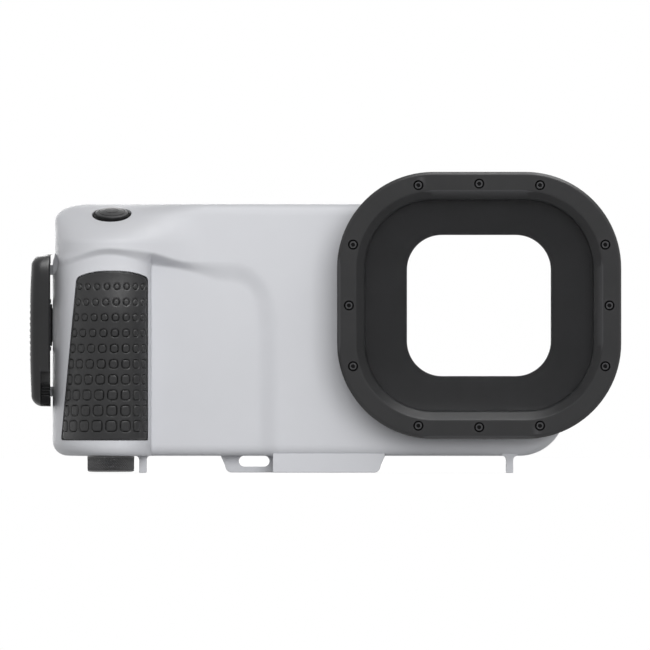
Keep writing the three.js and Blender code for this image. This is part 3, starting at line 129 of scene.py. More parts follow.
def solid(name, points, faces):
    mesh = bpy.data.meshes.new(name)
    mesh.from_pydata(to_world(points).tolist(), [], faces)
    shape = bmesh.new()
    shape.from_mesh(mesh)
    bmesh.ops.remove_doubles(shape, verts=shape.verts, dist=WELD * MM)
    bmesh.ops.recalc_face_normals(shape, faces=shape.faces)
    shape.to_mesh(mesh)
    shape.free()
    piece = bpy.data.objects.new(name, mesh)
    bpy.context.scene.collection.objects.link(piece)
    return piece


def bands(count, pairs):
    """Faces between pairs of rings with the given count of points."""
    return [(a * count + i, a * count + (i + 1) % count, b * count + (i + 1) % count, b * count + i)
            for a, b in pairs for i in range(count)]


def loft(name, rings, looped=False):
    """Skin over rings of equal count; looped joins the last ring to the first."""
    count, last = len(rings[0]), len(rings) - 1
    faces = bands(count, [(k, k + 1) for k in range(last)])
    if looped:
        faces += bands(count, [(last, 0)])
    else:
        faces += [tuple(range(count)), tuple(last * count + i for i in range(count))]
    return solid(name, np.concatenate(rings), faces)


def skin(name, outer, inner):
    """Closed solid between two grids of points."""
    wide, up = outer.shape[:2]
    offset = wide * up
    faces = []
    for i in range(wide - 1):
        for j in range(up - 1):
            a, b, c, d = i * up + j, (i + 1) * up + j, (i + 1) * up + j + 1, i * up + j + 1
            faces.append((a, b, c, d))
            faces.append((offset + a, offset + d, offset + c, offset + b))
    border = [i * up for i in range(wide)] + [(wide - 1) * up + j for j in range(1, up)]
    border += [i * up + up - 1 for i in range(wide - 2, -1, -1)] + list(range(up - 2, 0, -1))
    for k, a in enumerate(border):
        b = border[(k + 1) % len(border)]
        faces.append((a, b, offset + b, offset + a))
    return solid(name, np.concatenate([outer.reshape(-1, 3), inner.reshape(-1, 3)]), faces)


def field(name, columns, rows, outer, inner, place_x=None):
    """Closed solid between two depth surfaces over a grid."""
    x, z = np.meshgrid(columns, rows, indexing="ij")
    if place_x is not None:
        x = place_x(x, z)
    return skin(name, *[np.stack([x, surface(x, z), z], axis=-1) for surface in (outer, inner)])


def lathe(name, profile, place, steps=48):
    """Turns a closed profile of (radius, height); place maps local x, y, height to x, depth, z."""
    nexts = profile[1:] + profile[:1]
    pairs = [(k, (k + 1) % len(profile)) for k, after in enumerate(nexts) if profile[k][0] or after[0]]
    rings = [lifted(circle((0, 0), radius, steps), 2, height) for radius, height in profile]
    return solid(name, place(np.concatenate(rings)), bands(steps, pairs))


def post(name, radius, floor, top, place, steps=48):
    return lathe(name, [(0, floor), (radius, floor), (radius, top), (0, top)], place, steps)


def coil(name, radius, wire, floor, top, turns, place, steps=16, sides=8):
    """Spring wire wound up the local axis, from floor to top."""
    count = round(turns * steps)
    around = np.arange(sides) * 2 * math.pi / sides
    rings = []
    for k in range(count + 1):
        turn = 2 * math.pi * k / steps
        reach = radius + wire * np.cos(around)
        rise = floor + wire + (top - floor - 2 * wire) * k / count + wire * np.sin(around)
        rings.append(place(np.column_stack([reach * math.cos(turn), reach * math.sin(turn), rise])))
    return loft(name, rings)


def lifted(outline, axis, value):
    """Flat outline with a value for the measure it lacks: x (0), depth (1) or z (2)."""
    return np.insert(np.asarray(outline, dtype=float), axis, value, axis=1)


def rings_at(shape, places, *more):
    """Rings of an outline at pairs of inset and depth."""
    return [lifted(shape(inset, *more), 1, depth) for inset, depth in places]


def sweep(name, outline, axis, *ends):
    return loft(name, [lifted(outline, axis, end) for end in ends])


def prism(name, outline, back, front):
    """Outline in x, z swept along the depth."""
    return sweep(name, outline, 1, back, front)


def column(name, outline, floor, top):
    """Outline in x, depth swept along z."""
    return sweep(name, outline, 2, floor, top)


def block(name, left, right, back, front, floor, top):
    return prism(name, [(left, floor), (right, floor), (right, top), (left, top)], back, front)


def bake(piece):
    """Applies the piece's modifiers to its mesh."""
    depsgraph = bpy.context.evaluated_depsgraph_get()
    mesh = bpy.data.meshes.new_from_object(piece.evaluated_get(depsgraph))
    piece.modifiers.clear()
    old = piece.data
    piece.data = mesh
    bpy.data.meshes.remove(old)


def combine(piece, tools, operation):
    for tool in tools:
        step = piece.modifiers.new("combine", "BOOLEAN")
        step.operation = operation
        step.solver = "MANIFOLD"
        step.object = tool
    bake(piece)
    for tool in tools:
        bpy.data.objects.remove(tool)
    return piece


def carve(piece, *tools):
    return combine(piece, tools, "DIFFERENCE")


def join(piece, *tools):
    return combine(piece, tools, "UNION")


def meet(piece, *tools):
    return combine(piece, tools, "INTERSECT")


def soften(piece, width, angle=35):
    step = piece.modifiers.new("soften", "BEVEL")
    step.width = width * MM
    step.segments = 2
    step.limit_method = "ANGLE"
    step.angle_limit = math.radians(angle)
    step.use_clamp_overlap = True
    return piece


def shade(piece, angle):
    piece.data.polygons.foreach_set("use_smooth", [True] * len(piece.data.polygons))
    piece.data.set_sharp_from_angle(angle=math.radians(angle))
    step = piece.modifiers.new("normals", "WEIGHTED_NORMAL")
    step.keep_sharp = True


# Outlines

def rounded_rectangle(centre, half, radius, steps=10, runs=1):
    """Straight sides are cut into the given number of runs."""
    points = []
    radius = min(radius, *half)
    for quarter, (sx, sz) in enumerate([(1, 1), (-1, 1), (-1, -1), (1, -1)]):
        for i in range(steps + 1):
            angle = (quarter + i / steps) * math.pi / 2
            points.append((centre[0] + sx * (half[0] - radius) + radius * math.cos(angle),
                           centre[1] + sz * (half[1] - radius) + radius * math.sin(angle)))
    points = np.array(points)
    cut = []
    for k, (point, after) in enumerate(zip(points, np.roll(points, -1, axis=0))):
        parts = runs if k % (steps + 1) == steps else 1
        cut += [point + (after - point) * i / parts for i in range(parts)]
    return np.array(cut)


def between(left, right, floor, top, radius, steps=10):
    centre, half = ((left + right) / 2, (floor + top) / 2), ((right - left) / 2, (top - floor) / 2)
    return rounded_rectangle(centre, half, radius, steps)


def circle(centre, radius, steps=32):
    """The radius may be one value or one for each point."""
    angles = np.arange(steps) * 2 * math.pi / steps
    return np.column_stack([centre[0] + radius * np.cos(angles), centre[1] + radius * np.sin(angles)])


def arc(centre, radius, start, stop, steps=6):
    """Points on a round corner; angles in quarter turns."""
    return [(centre[0] + radius * math.cos(a * math.pi / 2), centre[1] + radius * math.sin(a * math.pi / 2))
            for a in np.linspace(start, stop, steps + 1)]


def port_outline(inset, steps=PORT_STEPS):
    half = [reach - inset for reach in BEZEL_HALF]
    return rounded_rectangle((PORT_X, PORT_Z), half, BEZEL_RADIUS - inset, steps, PORT_RUNS)


def dish_outline(share, extra=0.0):
    """From the opening (0) to the edge of the pocket (1)."""
    half = [opening + (reach - POCKET_INSET - opening) * share + extra
            for opening, reach in zip(OPEN_HALF, BEZEL_HALF)]
    radius = OPEN_RADIUS + (BEZEL_RADIUS - POCKET_INSET - OPEN_RADIUS) * share + extra
    return rounded_rectangle((PORT_X, PORT_Z), half, radius, PORT_STEPS, PORT_RUNS)


# Front surface of the case

def clamp01(value):
    return np.clip(value, 0.0, 1.0)


def smooth(value):
    t = clamp01(value)
    return t * t * (3 - 2 * t)


def quarter_round(value):
    t = clamp01(value)
    return np.sqrt(1 - (1 - t) ** 2)


def roll(distance, radius, fall=None):
    """How far a round edge has dropped at a distance from its end."""
    return (radius if fall is None else fall) * (1 - quarter_round(distance / radius))


def left_side(z):
    upper = smooth((z - CASE_BOTTOM - BROW_HEIGHT + BROW_SIDE_DROP) / BROW_SIDE_DROP)
    side = -LEFT_REACH + UPPER_LEFT_STEP * upper + roll(z - CASE_BOTTOM, BOTTOM_LEFT_RADIUS)
    return side + roll(CASE_TOP - z, TOP_LEFT_HEIGHT, TOP_LEFT_LENGTH)


def right_side(z):
    return RIGHT_REACH - roll(z - CASE_BOTTOM, BOTTOM_RIGHT_RADIUS) - roll(CASE_TOP - z, TOP_RIGHT_RADIUS)


def edge_distance(x, z):
    upper = z > (CASE_BOTTOM + CASE_TOP) / 2
    radius = np.where(upper, TOP_RIGHT_RADIUS, BOTTOM_RIGHT_RADIUS)
    to_side = RIGHT_REACH - x
    to_end = np.where(upper, CASE_TOP - z, z - CASE_BOTTOM)
    corner = (to_side < radius) & (to_end < radius)
    return np.where(corner, radius - np.hypot(radius - to_side, radius - to_end), np.minimum(to_side, to_end))


def grip_ridge(z):
    share = smooth((z - CASE_BOTTOM - GRIP_SHOULDER) / (NECK_HEIGHT - GRIP_SHOULDER))
    return GRIP_DEPTH - (GRIP_DEPTH - NECK_DEPTH) * share


def brow_ridge(z):
    into = clamp01((z - CASE_TOP + BROW_SLOPE_HEIGHT) / BROW_SLOPE_HEIGHT)
    fall = 1 - (1 - into ** BROW_SLOPE_POWER) ** (1 / BROW_SLOPE_POWER)
    return BROW_DEPTH - BROW_SLOPE_DROP * fall


def left_flank(x, z, ridge, inset):
    side = left_side(z) + inset
    return SIDE_DEPTH + (ridge - inset - SIDE_DEPTH) * quarter_round((x - side) / (RIDGE_X - side))


def grip_surface(x, z, inset=0.0):
    ridge = grip_ridge(z)
    share = clamp01((x - RIDGE_X) / (RIDGE_TO_RECESS - inset))
    right = RECESS_DEPTH + (ridge - inset - RECESS_DEPTH) * np.sqrt(1 - share ** 2)
    return np.where(x < RIDGE_X, left_flank(x, z, ridge, inset), right)


def brow_surface(x, z):
    ridge = brow_ridge(z)
    right = FRONT_DEPTH + (ridge - FRONT_DEPTH) * (1 - smooth((x - RIDGE_X) / BROW_FALL))
    return np.where(x < RIDGE_X, left_flank(x, z, ridge, 0.0), right)


def brow_edge(x):
    crest = CASE_BOTTOM + BROW_HEIGHT
    crest_x = -LEFT_REACH + BROW_CREST_INSET
    left = smooth((crest_x - x) / BROW_CREST_INSET)
    right = smooth((x - crest_x) / BROW_EDGE_FALL)
    return crest - np.where(x < crest_x, BROW_SIDE_DROP * left, (crest - RECESS_TOP) * right)


def recess_edge(x, z):
    above = z - brow_edge(x)
    right = x + RECESS_RIGHT
    up, out = above + RECESS_CORNER, right + RECESS_CORNER
    corner = np.hypot(np.maximum(up, 0), np.maximum(out, 0)) - RECESS_CORNER
    return np.minimum(np.maximum(up, out), 0) + corner


def front_surface(x, z):
    beside = 1 - smooth(np.abs(x - RECESS_FOOT) / RIDGE_TO_RECESS)
    below = smooth((brow_edge(x) - z) / (2 * RECESS_CORNER))
    along = smooth((x - RECESS_FOOT) / (-RECESS_RIGHT - RECESS_CORNER - RECESS_FOOT))
    spare = RECESS_SPREAD * np.maximum(below, along) * along
    inward = spare * (1 - below) / 2
    width = BROW_STEP + spare + NECK_STEP_EXTRA * beside
    lower = smooth(0.5 - (recess_edge(x, z) + inward) / width)
    body = brow_surface(x, z)
    body = body + (grip_surface(x, z) - body) * lower
    return np.maximum(SIDE_DEPTH / 2, body - roll(edge_distance(x, z), EDGE_RADIUS))


# Camera: level, far away, the frame 260 mm wide at the port
CAMERA_RANGE = 10.0
FRAME_WIDTH = 0.26
SENSOR = 36.0
AIM_DEPTH = 33
AIM_Z = 0.0592
CLIP_NEAR, CLIP_FAR = 0.1, 30


def add_camera():
    data = bpy.data.cameras.new("camera")
    data.sensor_width = SENSOR
    data.lens = SENSOR * CAMERA_RANGE / FRAME_WIDTH
    data.clip_start, data.clip_end = CLIP_NEAR, CLIP_FAR
    camera = bpy.data.objects.new("camera", data)
    camera.location = (SHIFT_X * MM, (SHIFT_Y - AIM_DEPTH) * MM - CAMERA_RANGE, AIM_Z)
    camera.rotation_euler = (math.pi / 2, 0, 0)
    bpy.context.scene.collection.objects.link(camera)
    bpy.context.scene.camera = camera


add_camera()


# Materials

def linear(level):
    level = level / 255
    return level / 12.92 if level <= 0.04045 else ((level + 0.055) / 1.055) ** 2.4


def tone(levels):
    return (*[linear(level) for level in levels], 1.0)


def fill(node, values):
    """Sets inputs of a node by name."""
    for name, value in values.items():
        node.inputs[name].default_value = value
    return node


NOISE_DETAIL = 3.0


class Finish:
    """A principled material with a few helpers for procedural detail."""

    def __init__(self, name, colour, roughness, metallic=0.0, specular=0.5):
        self.material = bpy.data.materials.new(name)
        self.material.use_nodes = True
        self.nodes = self.material.node_tree.nodes
        self.links = self.material.node_tree.links
        self.shader = self.nodes["Principled BSDF"]
        self.colour = tone(colour)
        self.roughness = roughness
        fill(self.shader, {"Base Color": self.colour, "Roughness": roughness, "Metallic": metallic,
                           "Specular IOR Level": specular})
        self.place = self.nodes.new("ShaderNodeTexCoord").outputs["Object"]

    def noise(self, size, stretch=None):
        texture = fill(self.nodes.new("ShaderNodeTexNoise"),
                       {"Scale": 1 / (size * MM), "Detail": NOISE_DETAIL})
        place = self.place
        if stretch is not None:
            mapping = fill(self.nodes.new("ShaderNodeMapping"), {"Scale": stretch})
            self.links.new(place, mapping.inputs["Vector"])
            place = mapping.outputs["Vector"]
        self.links.new(place, texture.inputs["Vector"])
        return texture.outputs["Fac"]

    def ramp(self, source, low, high, start=0.3, end=0.7):
        span = {"From Min": start, "From Max": end, "To Min": low, "To Max": high}
        node = fill(self.nodes.new("ShaderNodeMapRange"), span)
        self.links.new(source, node.inputs["Value"])
        return node.outputs["Result"]

    def vary_roughness(self, size, reach):
        varied = self.ramp(self.noise(size), self.roughness - reach, self.roughness + reach)
        self.links.new(varied, self.shader.inputs["Roughness"])
        return self

    def mix_in(self, other, factor):
        """Mixes another colour over the present one."""
        mix = self.nodes.new("ShaderNodeMix")
        mix.data_type = "RGBA"
        base = self.shader.inputs["Base Color"]
        if base.is_linked:
            self.links.new(base.links[0].from_socket, mix.inputs["A"])
        else:
            mix.inputs["A"].default_value = self.colour
        mix.inputs["B"].default_value = tone(other)
        self.links.new(factor, mix.inputs["Factor"])
        self.links.new(mix.outputs["Result"], base)
        return self

    def vary_colour(self, size, other, strength=1.0):
        return self.mix_in(other, self.ramp(self.noise(size), 0.0, strength))

    def wear_and_painted_light(self, other, start=0.52, end=0.6, strength=0.5):
        """Tints convex edges, or hollows where start is above end: edge wear, and also painted highlights on
        edges and painted shade in hollows.
        """
        pointiness = self.nodes.new("ShaderNodeNewGeometry").outputs["Pointiness"]
        return self.mix_in(other, self.ramp(pointiness, 0.0, strength, start, end))

    def grain(self, size, height, stretch=None):
        bump = fill(self.nodes.new("ShaderNodeBump"), {"Strength": 1.0, "Distance": height * MM})
        self.links.new(self.noise(size, stretch), bump.inputs["Height"])
        self.links.new(bump.outputs["Normal"], self.shader.inputs["Normal"])
        return self

    def clear(self, front, side, start=0.1, end=1.0):
        """Lets light through; reflections grow towards the side."""
        weight = fill(self.nodes.new("ShaderNodeLayerWeight"), {"Blend": 0.5})
        alpha = self.ramp(weight.outputs["Facing"], front, side, start, end)
        self.links.new(alpha, self.shader.inputs["Alpha"])
        return self


FINISHES = {
    "shell": Finish("satin_shell", (206, 207, 211), 0.48, specular=0.15)
    .vary_colour(30, (202, 203, 207), 0.6).vary_roughness(6, 0.05).grain(0.5, 0.003),
    "black": Finish("black_plastic", (31, 31, 32), 0.42, specular=0.22)
    .vary_colour(9, (35, 35, 36)).wear_and_painted_light((62, 62, 64)).vary_roughness(2, 0.06).grain(0.35, 0.005),
    "latch": Finish("latch_plastic", (21, 21, 22), 0.34, specular=0.34)
    .vary_colour(11, (26, 26, 27)).wear_and_painted_light((48, 48, 50)).vary_roughness(2.4, 0.05).grain(0.4, 0.004),
    # The knurl's crests are lightened strongly by pointiness: partly wear, partly a painted highlight on the
    # crests.
    "knurl": Finish("knurled_black", (34, 34, 35), 0.34, specular=0.7)
    .vary_colour(7, (50, 50, 51)).wear_and_painted_light((120, 120, 122), strength=0.8)
    .vary_roughness(1.2, 0.06).grain(0.2, 0.003),
    # Darkest black for small parts; also painted shade, on the counterbores round the port screws and inside
    # their hex sockets.
    "black_and_hole_shade": Finish("darkest_black_and_hole_shade", (11, 11, 12), 0.5, specular=0.12)
    .vary_roughness(2, 0.06).grain(0.35, 0.005),
    "funnel": Finish("funnel_plastic", (34, 34, 35), 0.6, specular=0.14)
    .vary_colour(12, (37, 37, 38)).wear_and_painted_light((60, 60, 62)).vary_roughness(3, 0.05).grain(0.3, 0.005),
    "bezel": Finish("port_plastic", (32, 32, 33), 0.42, specular=0.3)
    .vary_colour(14, (36, 36, 37)).wear_and_painted_light((70, 70, 72)).vary_roughness(3, 0.05).grain(0.28, 0.004),
    # The rubber's grooves round the pads are darkened by pointiness: painted shade in the grooves.
    "rubber": Finish("grip_rubber", (29, 29, 30), 0.5, specular=0.4)
    .vary_colour(5, (33, 33, 34)).wear_and_painted_light((4, 4, 4), 0.495, 0.46, 0.95)
    .vary_roughness(1.5, 0.08).grain(0.22, 0.008),
    "seal": Finish("seal_rubber", (20, 20, 21), 0.6, specular=0.3)
    .vary_roughness(1.5, 0.08).grain(0.2, 0.01),
    "steel": Finish("stainless", (176, 178, 180), 0.3, metallic=1.0)
    .vary_roughness(0.8, 0.08).grain(0.15, 0.003, stretch=(1, 1, 8)),
    # Pointiness lightens convex edges: edge wear, and on the port screws a painted highlight round the rim of
    # each hex socket.
    "dark_steel": Finish("black_steel", (12, 12, 13), 0.4, specular=0.3)
    .wear_and_painted_light((84, 84, 86), 0.54, 0.64, 0.6).vary_roughness(0.6, 0.08).grain(0.12, 0.003),
    "brass": Finish("brass", (176, 134, 62), 0.34, metallic=1.0)
    .vary_colour(1.2, (140, 100, 46)).vary_roughness(0.7, 0.08),
    "board": Finish("circuit_board", (30, 74, 52), 0.42)
    .vary_colour(1.6, (38, 94, 62)).vary_roughness(1.2, 0.1).grain(0.5, 0.02),
    "cell": Finish("cell_wrap", (86, 92, 100), 0.3)
    .vary_colour(8, (76, 82, 92)).vary_roughness(4, 0.06).grain(2.5, 0.01),
    "glass": Finish("clear_glass", (236, 241, 243), 0.04, metallic=1.0)
    .clear(0.001, 0.12).vary_roughness(20, 0.01),
}
SLOTS = {
    "shell": "shell_white", "black": "plastic_black", "bezel": "bezel_black", "rubber": "rubber_black",
    "seal": "seal_black", "steel": "steel", "dark_steel": "steel_black", "brass": "brass",
    "board": "board_green", "cell": "cell_wrap", "glass": "glass_clear",
}
PLAIN = {slot: finish for finish, slot in SLOTS.items()}
for extra in ("black_and_hole_shade", "latch", "knurl", "funnel"):
    SLOTS[extra] = "plastic_black"


def paint(piece, finish):
    piece.data.materials.clear()
    piece.data.materials.append(FINISHES[finish].material)


def dress(piece, finish, node, angle, body="housing"):
    """Finishes a new piece that stands for a CAD node; edges above the angle stay sharp."""
    paint(piece, finish)
    shade(piece, angle)
    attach(piece, body)
    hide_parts(node)


def tint(piece, finish, chosen):
    """A second finish on the faces whose centre, in metres, is chosen."""
    piece.data.materials.append(FINISHES[finish].material)
    for face in piece.data.polygons:
        if chosen(face.center):
            face.material_index = 1


# Case body

def spread(start, end, count, shape=None):
    t = np.arange(count + 1) / count
    if shape is not None:
        t = shape(t)
    return start + (end - start) * t


def sine(t):
    return np.sin(t * math.pi / 2)


def cosine(t):
    return 1 - np.cos(t * math.pi / 2)


def grade(start, *stretches):
    """Grid lines over stretches of (end, count, spacing)."""
    lines = [start]
    for end, count, *shape in stretches:
        lines += list(spread(lines[-1], end, count, *shape)[1:])
    return lines


def case_solid():
    columns = grade(-LEFT_REACH, (RIDGE_X, 34, cosine), (RECESS_FOOT, 26, sine),
                    (-RECESS_RIGHT - RECESS_CORNER, 26), (-RECESS_RIGHT - RECESS_BAND, 14),
                    (-RECESS_RIGHT + RECESS_BAND, 10), (RIGHT_REACH - BOTTOM_RIGHT_RADIUS, 14),
                    (RIGHT_REACH, 18, sine))
    over_crest = CASE_BOTTOM + BROW_HEIGHT + BROW_CREST_BAND
    rows = grade(CASE_BOTTOM, (CASE_BOTTOM + EDGE_RADIUS, 8, cosine), (CASE_BOTTOM + BOTTOM_RIGHT_RADIUS, 10),
                 (RECESS_TOP - RECESS_CORNER, 18), (over_crest, 64), (CASE_TOP - EDGE_RADIUS, 12),
                 (CASE_TOP, 12, sine))

    def place_x(x, z):
        return np.minimum(np.maximum(x, left_side(z)), right_side(z))

    return field("case_body", columns, rows, front_surface, lambda x, z: np.zeros_like(x), place_x)


def rounded(corners, steps=5):
    """Outline from corners given as x, z and radius."""
    points = []
    for k, (x, z, radius) in enumerate(corners):
        here = np.array([x, z])
        if radius == 0:
            points.append(here)
            continue
        neighbours = [np.array(corners[n][:2]) - here for n in (k - 1, (k + 1) % len(corners))]
        start, stop = [here + way / np.linalg.norm(way) * radius for way in neighbours]
        points += [start * (1 - t) ** 2 + here * 2 * t * (1 - t) + stop * t ** 2
                   for t in np.linspace(0, 1, steps + 1)]
    return np.array(points)


COVER_FLOOR = 6.5
COVER_TOP = 71.2
COVER_LEFT = 3.8
COVER_TOP_LEFT = 10.0
COVER_RIGHT = 1.6
COVER_RISE = 2.7
COVER_ARCH_POWER = 2.6
COVER_CORNERS = (1.3, 0.5, 1.5, 1.7)


def cover_outline(margin, steps=24):
    floor, top = CASE_BOTTOM + COVER_FLOOR - margin, CASE_BOTTOM + COVER_TOP + margin
    bottom_left, top_left = -LEFT_REACH + COVER_LEFT - margin, -LEFT_REACH + COVER_TOP_LEFT - margin
    right = RECESS_FOOT - COVER_RIGHT + margin
    radii = COVER_CORNERS
    corners = [(bottom_left, floor, radii[0]), (right, floor, radii[1]), (right, top, radii[2])]
    for i in range(2, steps - 1):
        t = i / steps
        arch = COVER_RISE * (1 - abs(2 * t - 1) ** COVER_ARCH_POWER)
        corners.append((right + (top_left - right) * t, top + arch, 0))
    return rounded(corners + [(top_left, top, radii[3])])


def cover_pocket():
    """The room under and before the grip cover."""
    columns = grade(-LEFT_REACH - GAP, (RIDGE_X, 60, cosine), (RECESS_FOOT + GAP, 44, sine))
    top = COVER_TOP + COVER_RISE + 1.1 * OVERRUN
    rows = spread(CASE_BOTTOM + COVER_FLOOR - OVERRUN, CASE_BOTTOM + top, 60)
    pocket = field("cover_pocket", columns, rows, lambda x, z: np.full_like(x, GRIP_DEPTH + 2 * OVERRUN),
                   lambda x, z: grip_surface(x, z, COVER_THICKNESS + GAP))
    return meet(pocket, prism("pocket_edge", cover_outline(GAP), 0, GRIP_DEPTH + 4 * OVERRUN))


HINGE = (99.9, -1.5)
HINGE_FLOOR = CASE_BOTTOM + 16
HINGE_LENGTH = 74
KNUCKLES = 5
KNUCKLE_RADIUS = 3.2
KNUCKLE_GAP = 0.2
PIN_RADIUS = 1.5
WEB_LEFT = 95.4


def knuckles(prefix, first, back, front):
    """Every second knuckle from the first, each with a web between two depths."""
    step = HINGE_LENGTH / KNUCKLES
    pieces = []
    for i in range(first, KNUCKLES, 2):
        floor = HINGE_FLOOR + i * step + KNUCKLE_GAP
        top = floor + step - 2 * KNUCKLE_GAP
        pieces.append(column(f"{prefix}_{i}", circle(HINGE, KNUCKLE_RADIUS), floor, top))
        pieces.append(block(f"{prefix}_web_{i}", WEB_LEFT, HINGE[0], back, front, floor, top))
    return pieces


def hinge_bore(margin):
    return column("hinge_bore", circle(HINGE, PIN_RADIUS + margin, 24), HINGE_FLOOR - OVERRUN,
                  HINGE_FLOOR + HINGE_LENGTH + OVERRUN)


RIB_BACK = 1.5
FOOT_HALF = 1.45
FOOT_FILLET = 1.6
FOOT_FRONT = 22.9
FOOT_BEVEL = 0.3


def foot(name, x):
    side = [(FOOT_HALF, 0), *arc((FOOT_HALF + FOOT_FILLET, CASE_BOTTOM - FOOT_FILLET), FOOT_FILLET, 2, 1),
            (FOOT_HALF + FOOT_FILLET, CASE_BOTTOM + OVERRUN)]
    outline = [(x - FOOT_HALF, 0)] + [(x + out, z) for out, z in side]
    outline += [(x - out, z) for out, z in side[:0:-1]]
    return soften(prism(name, outline, RIB_BACK, FOOT_FRONT), FOOT_BEVEL)


LUG_LEFT, LUG_RIGHT = -41.8, 24
LUG_FLOOR = 0.1
LUG_SLANT = 1.8
LUG_RADIUS = 2.6
LUG_PLATE_FRONT = 10.5
LUG_FRONT = 23.5
LUG_STEP_X = -20.9
LUG_BEVEL = 0.35


def lug_outline():
    corner = arc((LUG_SLANT + LUG_RADIUS, LUG_FLOOR + LUG_RADIUS), LUG_RADIUS, 2, 3, 7)
    side = [(0, CASE_BOTTOM + OVERRUN), (0, CASE_BOTTOM), *corner]
    return [(LUG_LEFT + out, z) for out, z in side] + [(LUG_RIGHT - out, z) for out, z in reversed(side)]


def mount_block():
    plate = prism("mount_plate", lug_outline(), RIB_BACK, LUG_PLATE_FRONT)
    full = prism("mount_block", lug_outline(), RIB_BACK, LUG_FRONT)
    meet(full, block("mount_side", LUG_STEP_X, LUG_RIGHT + OVERRUN, 0, LUG_FRONT + OVERRUN, -OVERRUN,
                     CASE_BOTTOM + 2 * OVERRUN))
    return [soften(plate, LUG_BEVEL), soften(full, LUG_BEVEL)]


EAR_SPANS = [(30.5, 34.5), (79.3, 83.3)]
EAR_ROOT = -106.6
EAR_TIP = 4.7
EAR_SHOULDER = 3.1
EAR_BACK, EAR_FRONT = 0.3, 5.8
EAR_FLAT = 1.2
EAR_RADIUS = 1.6
PIVOT = (-111.8, 3.0)
RELIEF_CENTRE = (-109.2, 84.0)
RELIEF_HALF = (2.4, 4.4)
RELIEF_DEPTH = 8.5


def ears():
    """The case's lugs for the lever's pins, with round noses."""
    x, depth = -LEFT_REACH - EAR_TIP + EAR_RADIUS, PIVOT[1]
    nose = arc((x, depth - EAR_FLAT), EAR_RADIUS, 3, 2, 5) + arc((x, depth + EAR_FLAT), EAR_RADIUS, 2, 1, 5)
    shoulder = -LEFT_REACH - EAR_SHOULDER
    outline = [(EAR_ROOT, EAR_BACK), (shoulder, EAR_BACK), *nose[1:-1], (shoulder, EAR_FRONT),
               (EAR_ROOT, EAR_FRONT)]
    return [column(f"ear_{k}", outline, *span) for k, span in enumerate(EAR_SPANS)]


def upright(x, depth):
    """Local height runs up, over a point of the floor."""
    return lambda points: points + (x, depth, 0)


BATTERY = (-85.7, 28.4)
battery_axis = upright(*BATTERY)
TILT = math.radians(18)
BUTTON_SEAT = (-85.4, 19.5, CASE_BOTTOM + 95.9)


def shutter_axis(points):
    """Local height runs up the button's axis, leaning forward."""
    depth = points[:, 1] * math.cos(TILT) + points[:, 2] * math.sin(TILT)
    height = -points[:, 1] * math.sin(TILT) + points[:, 2] * math.cos(TILT)
    return np.column_stack([points[:, 0], depth, height]) + BUTTON_SEAT


REAR_X = 90
REAR_HEIGHTS = [45, 62, 79]


def rear_axis(height):
    """Local height runs backwards from the parting plane."""
    return lambda points: np.column_stack([points[:, 0] - REAR_X, -points[:, 2], points[:, 1] + height])


# Left, right, floor, top and corner radius of the bays and the slot, then how far forward each reaches
PHONE_BAY, PHONE_BAY_FRONT = (-73.8, 91.4, 13.2, 101, 6), 18.5
BOARD_BAY, BOARD_BAY_FRONT = (-104, -76.8, 19.8, 95.5, 3), 17
STRAP_SLOT, STRAP_SLOT_FRONT = (-34.55, -22.25, 2.4, 6.8, 2.2), 11.5
PORT_HOLE_BACK, PORT_HOLE_FRONT, PORT_HOLE_MARGIN = 17.5, 28, 2.7
FOOT_LEFT, FOOT_RIGHT = -72.95, 73.95
CASE_WEB_FRONT = 6
CASE_PIN_GAP = 0.15
EAR_BORE = 1.15
INSERT = (4, 12.5)
INSERT_RADIUS, INSERT_TOP = 4.15, 5.8
BOSS_COLUMNS, BOSS_ROWS = (-100.6, -80.2), (23.2, 73.6)
BOSS_HALF = 2.6
BOSS_BACK = 13.8


def make_case():
    body = case_solid()
    join(body, foot("foot_left", FOOT_LEFT), foot("foot_right", FOOT_RIGHT), *mount_block(),
         *knuckles("knuckle", 0, GAP, CASE_WEB_FRONT), *ears())
    tools = [
        prism("phone_bay", between(*PHONE_BAY), -OVERRUN, PHONE_BAY_FRONT),
        prism("board_bay", between(*BOARD_BAY), -OVERRUN, BOARD_BAY_FRONT),
        prism("port_hole", dish_outline(0, PORT_HOLE_MARGIN), PORT_HOLE_BACK, PORT_HOLE_FRONT),
        post("tube_flange", 10.8, -OVERRUN, 7.6, battery_axis),
        post("tube_plug", 8.9, -OVERRUN, 14.3, battery_axis),
        post("tube_bore", 7.5, -OVERRUN, 69.75, battery_axis),
        prism("strap_slot", between(*STRAP_SLOT), -OVERRUN, STRAP_SLOT_FRONT),
        post("insert_hole", INSERT_RADIUS, -OVERRUN, INSERT_TOP, upright(*INSERT)),
        post("button_well", 7.95, 0, 13.4, shutter_axis),
        post("button_cup", 7.95, -4.9, OVERRUN, shutter_axis),
        post("button_stem", 2.1, -13.8, OVERRUN, shutter_axis),
        hinge_bore(CASE_PIN_GAP),
        prism("ear_relief", circle((0, 0), 1, 40) * RELIEF_HALF + RELIEF_CENTRE, RELIEF_DEPTH, GRIP_DEPTH),
        column("ear_bore", circle(PIVOT, EAR_BORE, 20), EAR_SPANS[0][0] - OVERRUN, EAR_SPANS[0][1]),
        column("ear_bore", circle(PIVOT, EAR_BORE, 20), EAR_SPANS[1][0], EAR_SPANS[1][1] + OVERRUN),
        cover_pocket(),
    ]
    carve(body, *tools)
    join(body, *[block("boss", x - BOSS_HALF, x + BOSS_HALF, BOSS_BACK, BOARD_BAY_FRONT + OVERRUN / 2,
                       z - BOSS_HALF, z + BOSS_HALF) for x in BOSS_COLUMNS for z in BOSS_ROWS])
    dress(body, "shell", "front_shell", 38)


# Grip cover

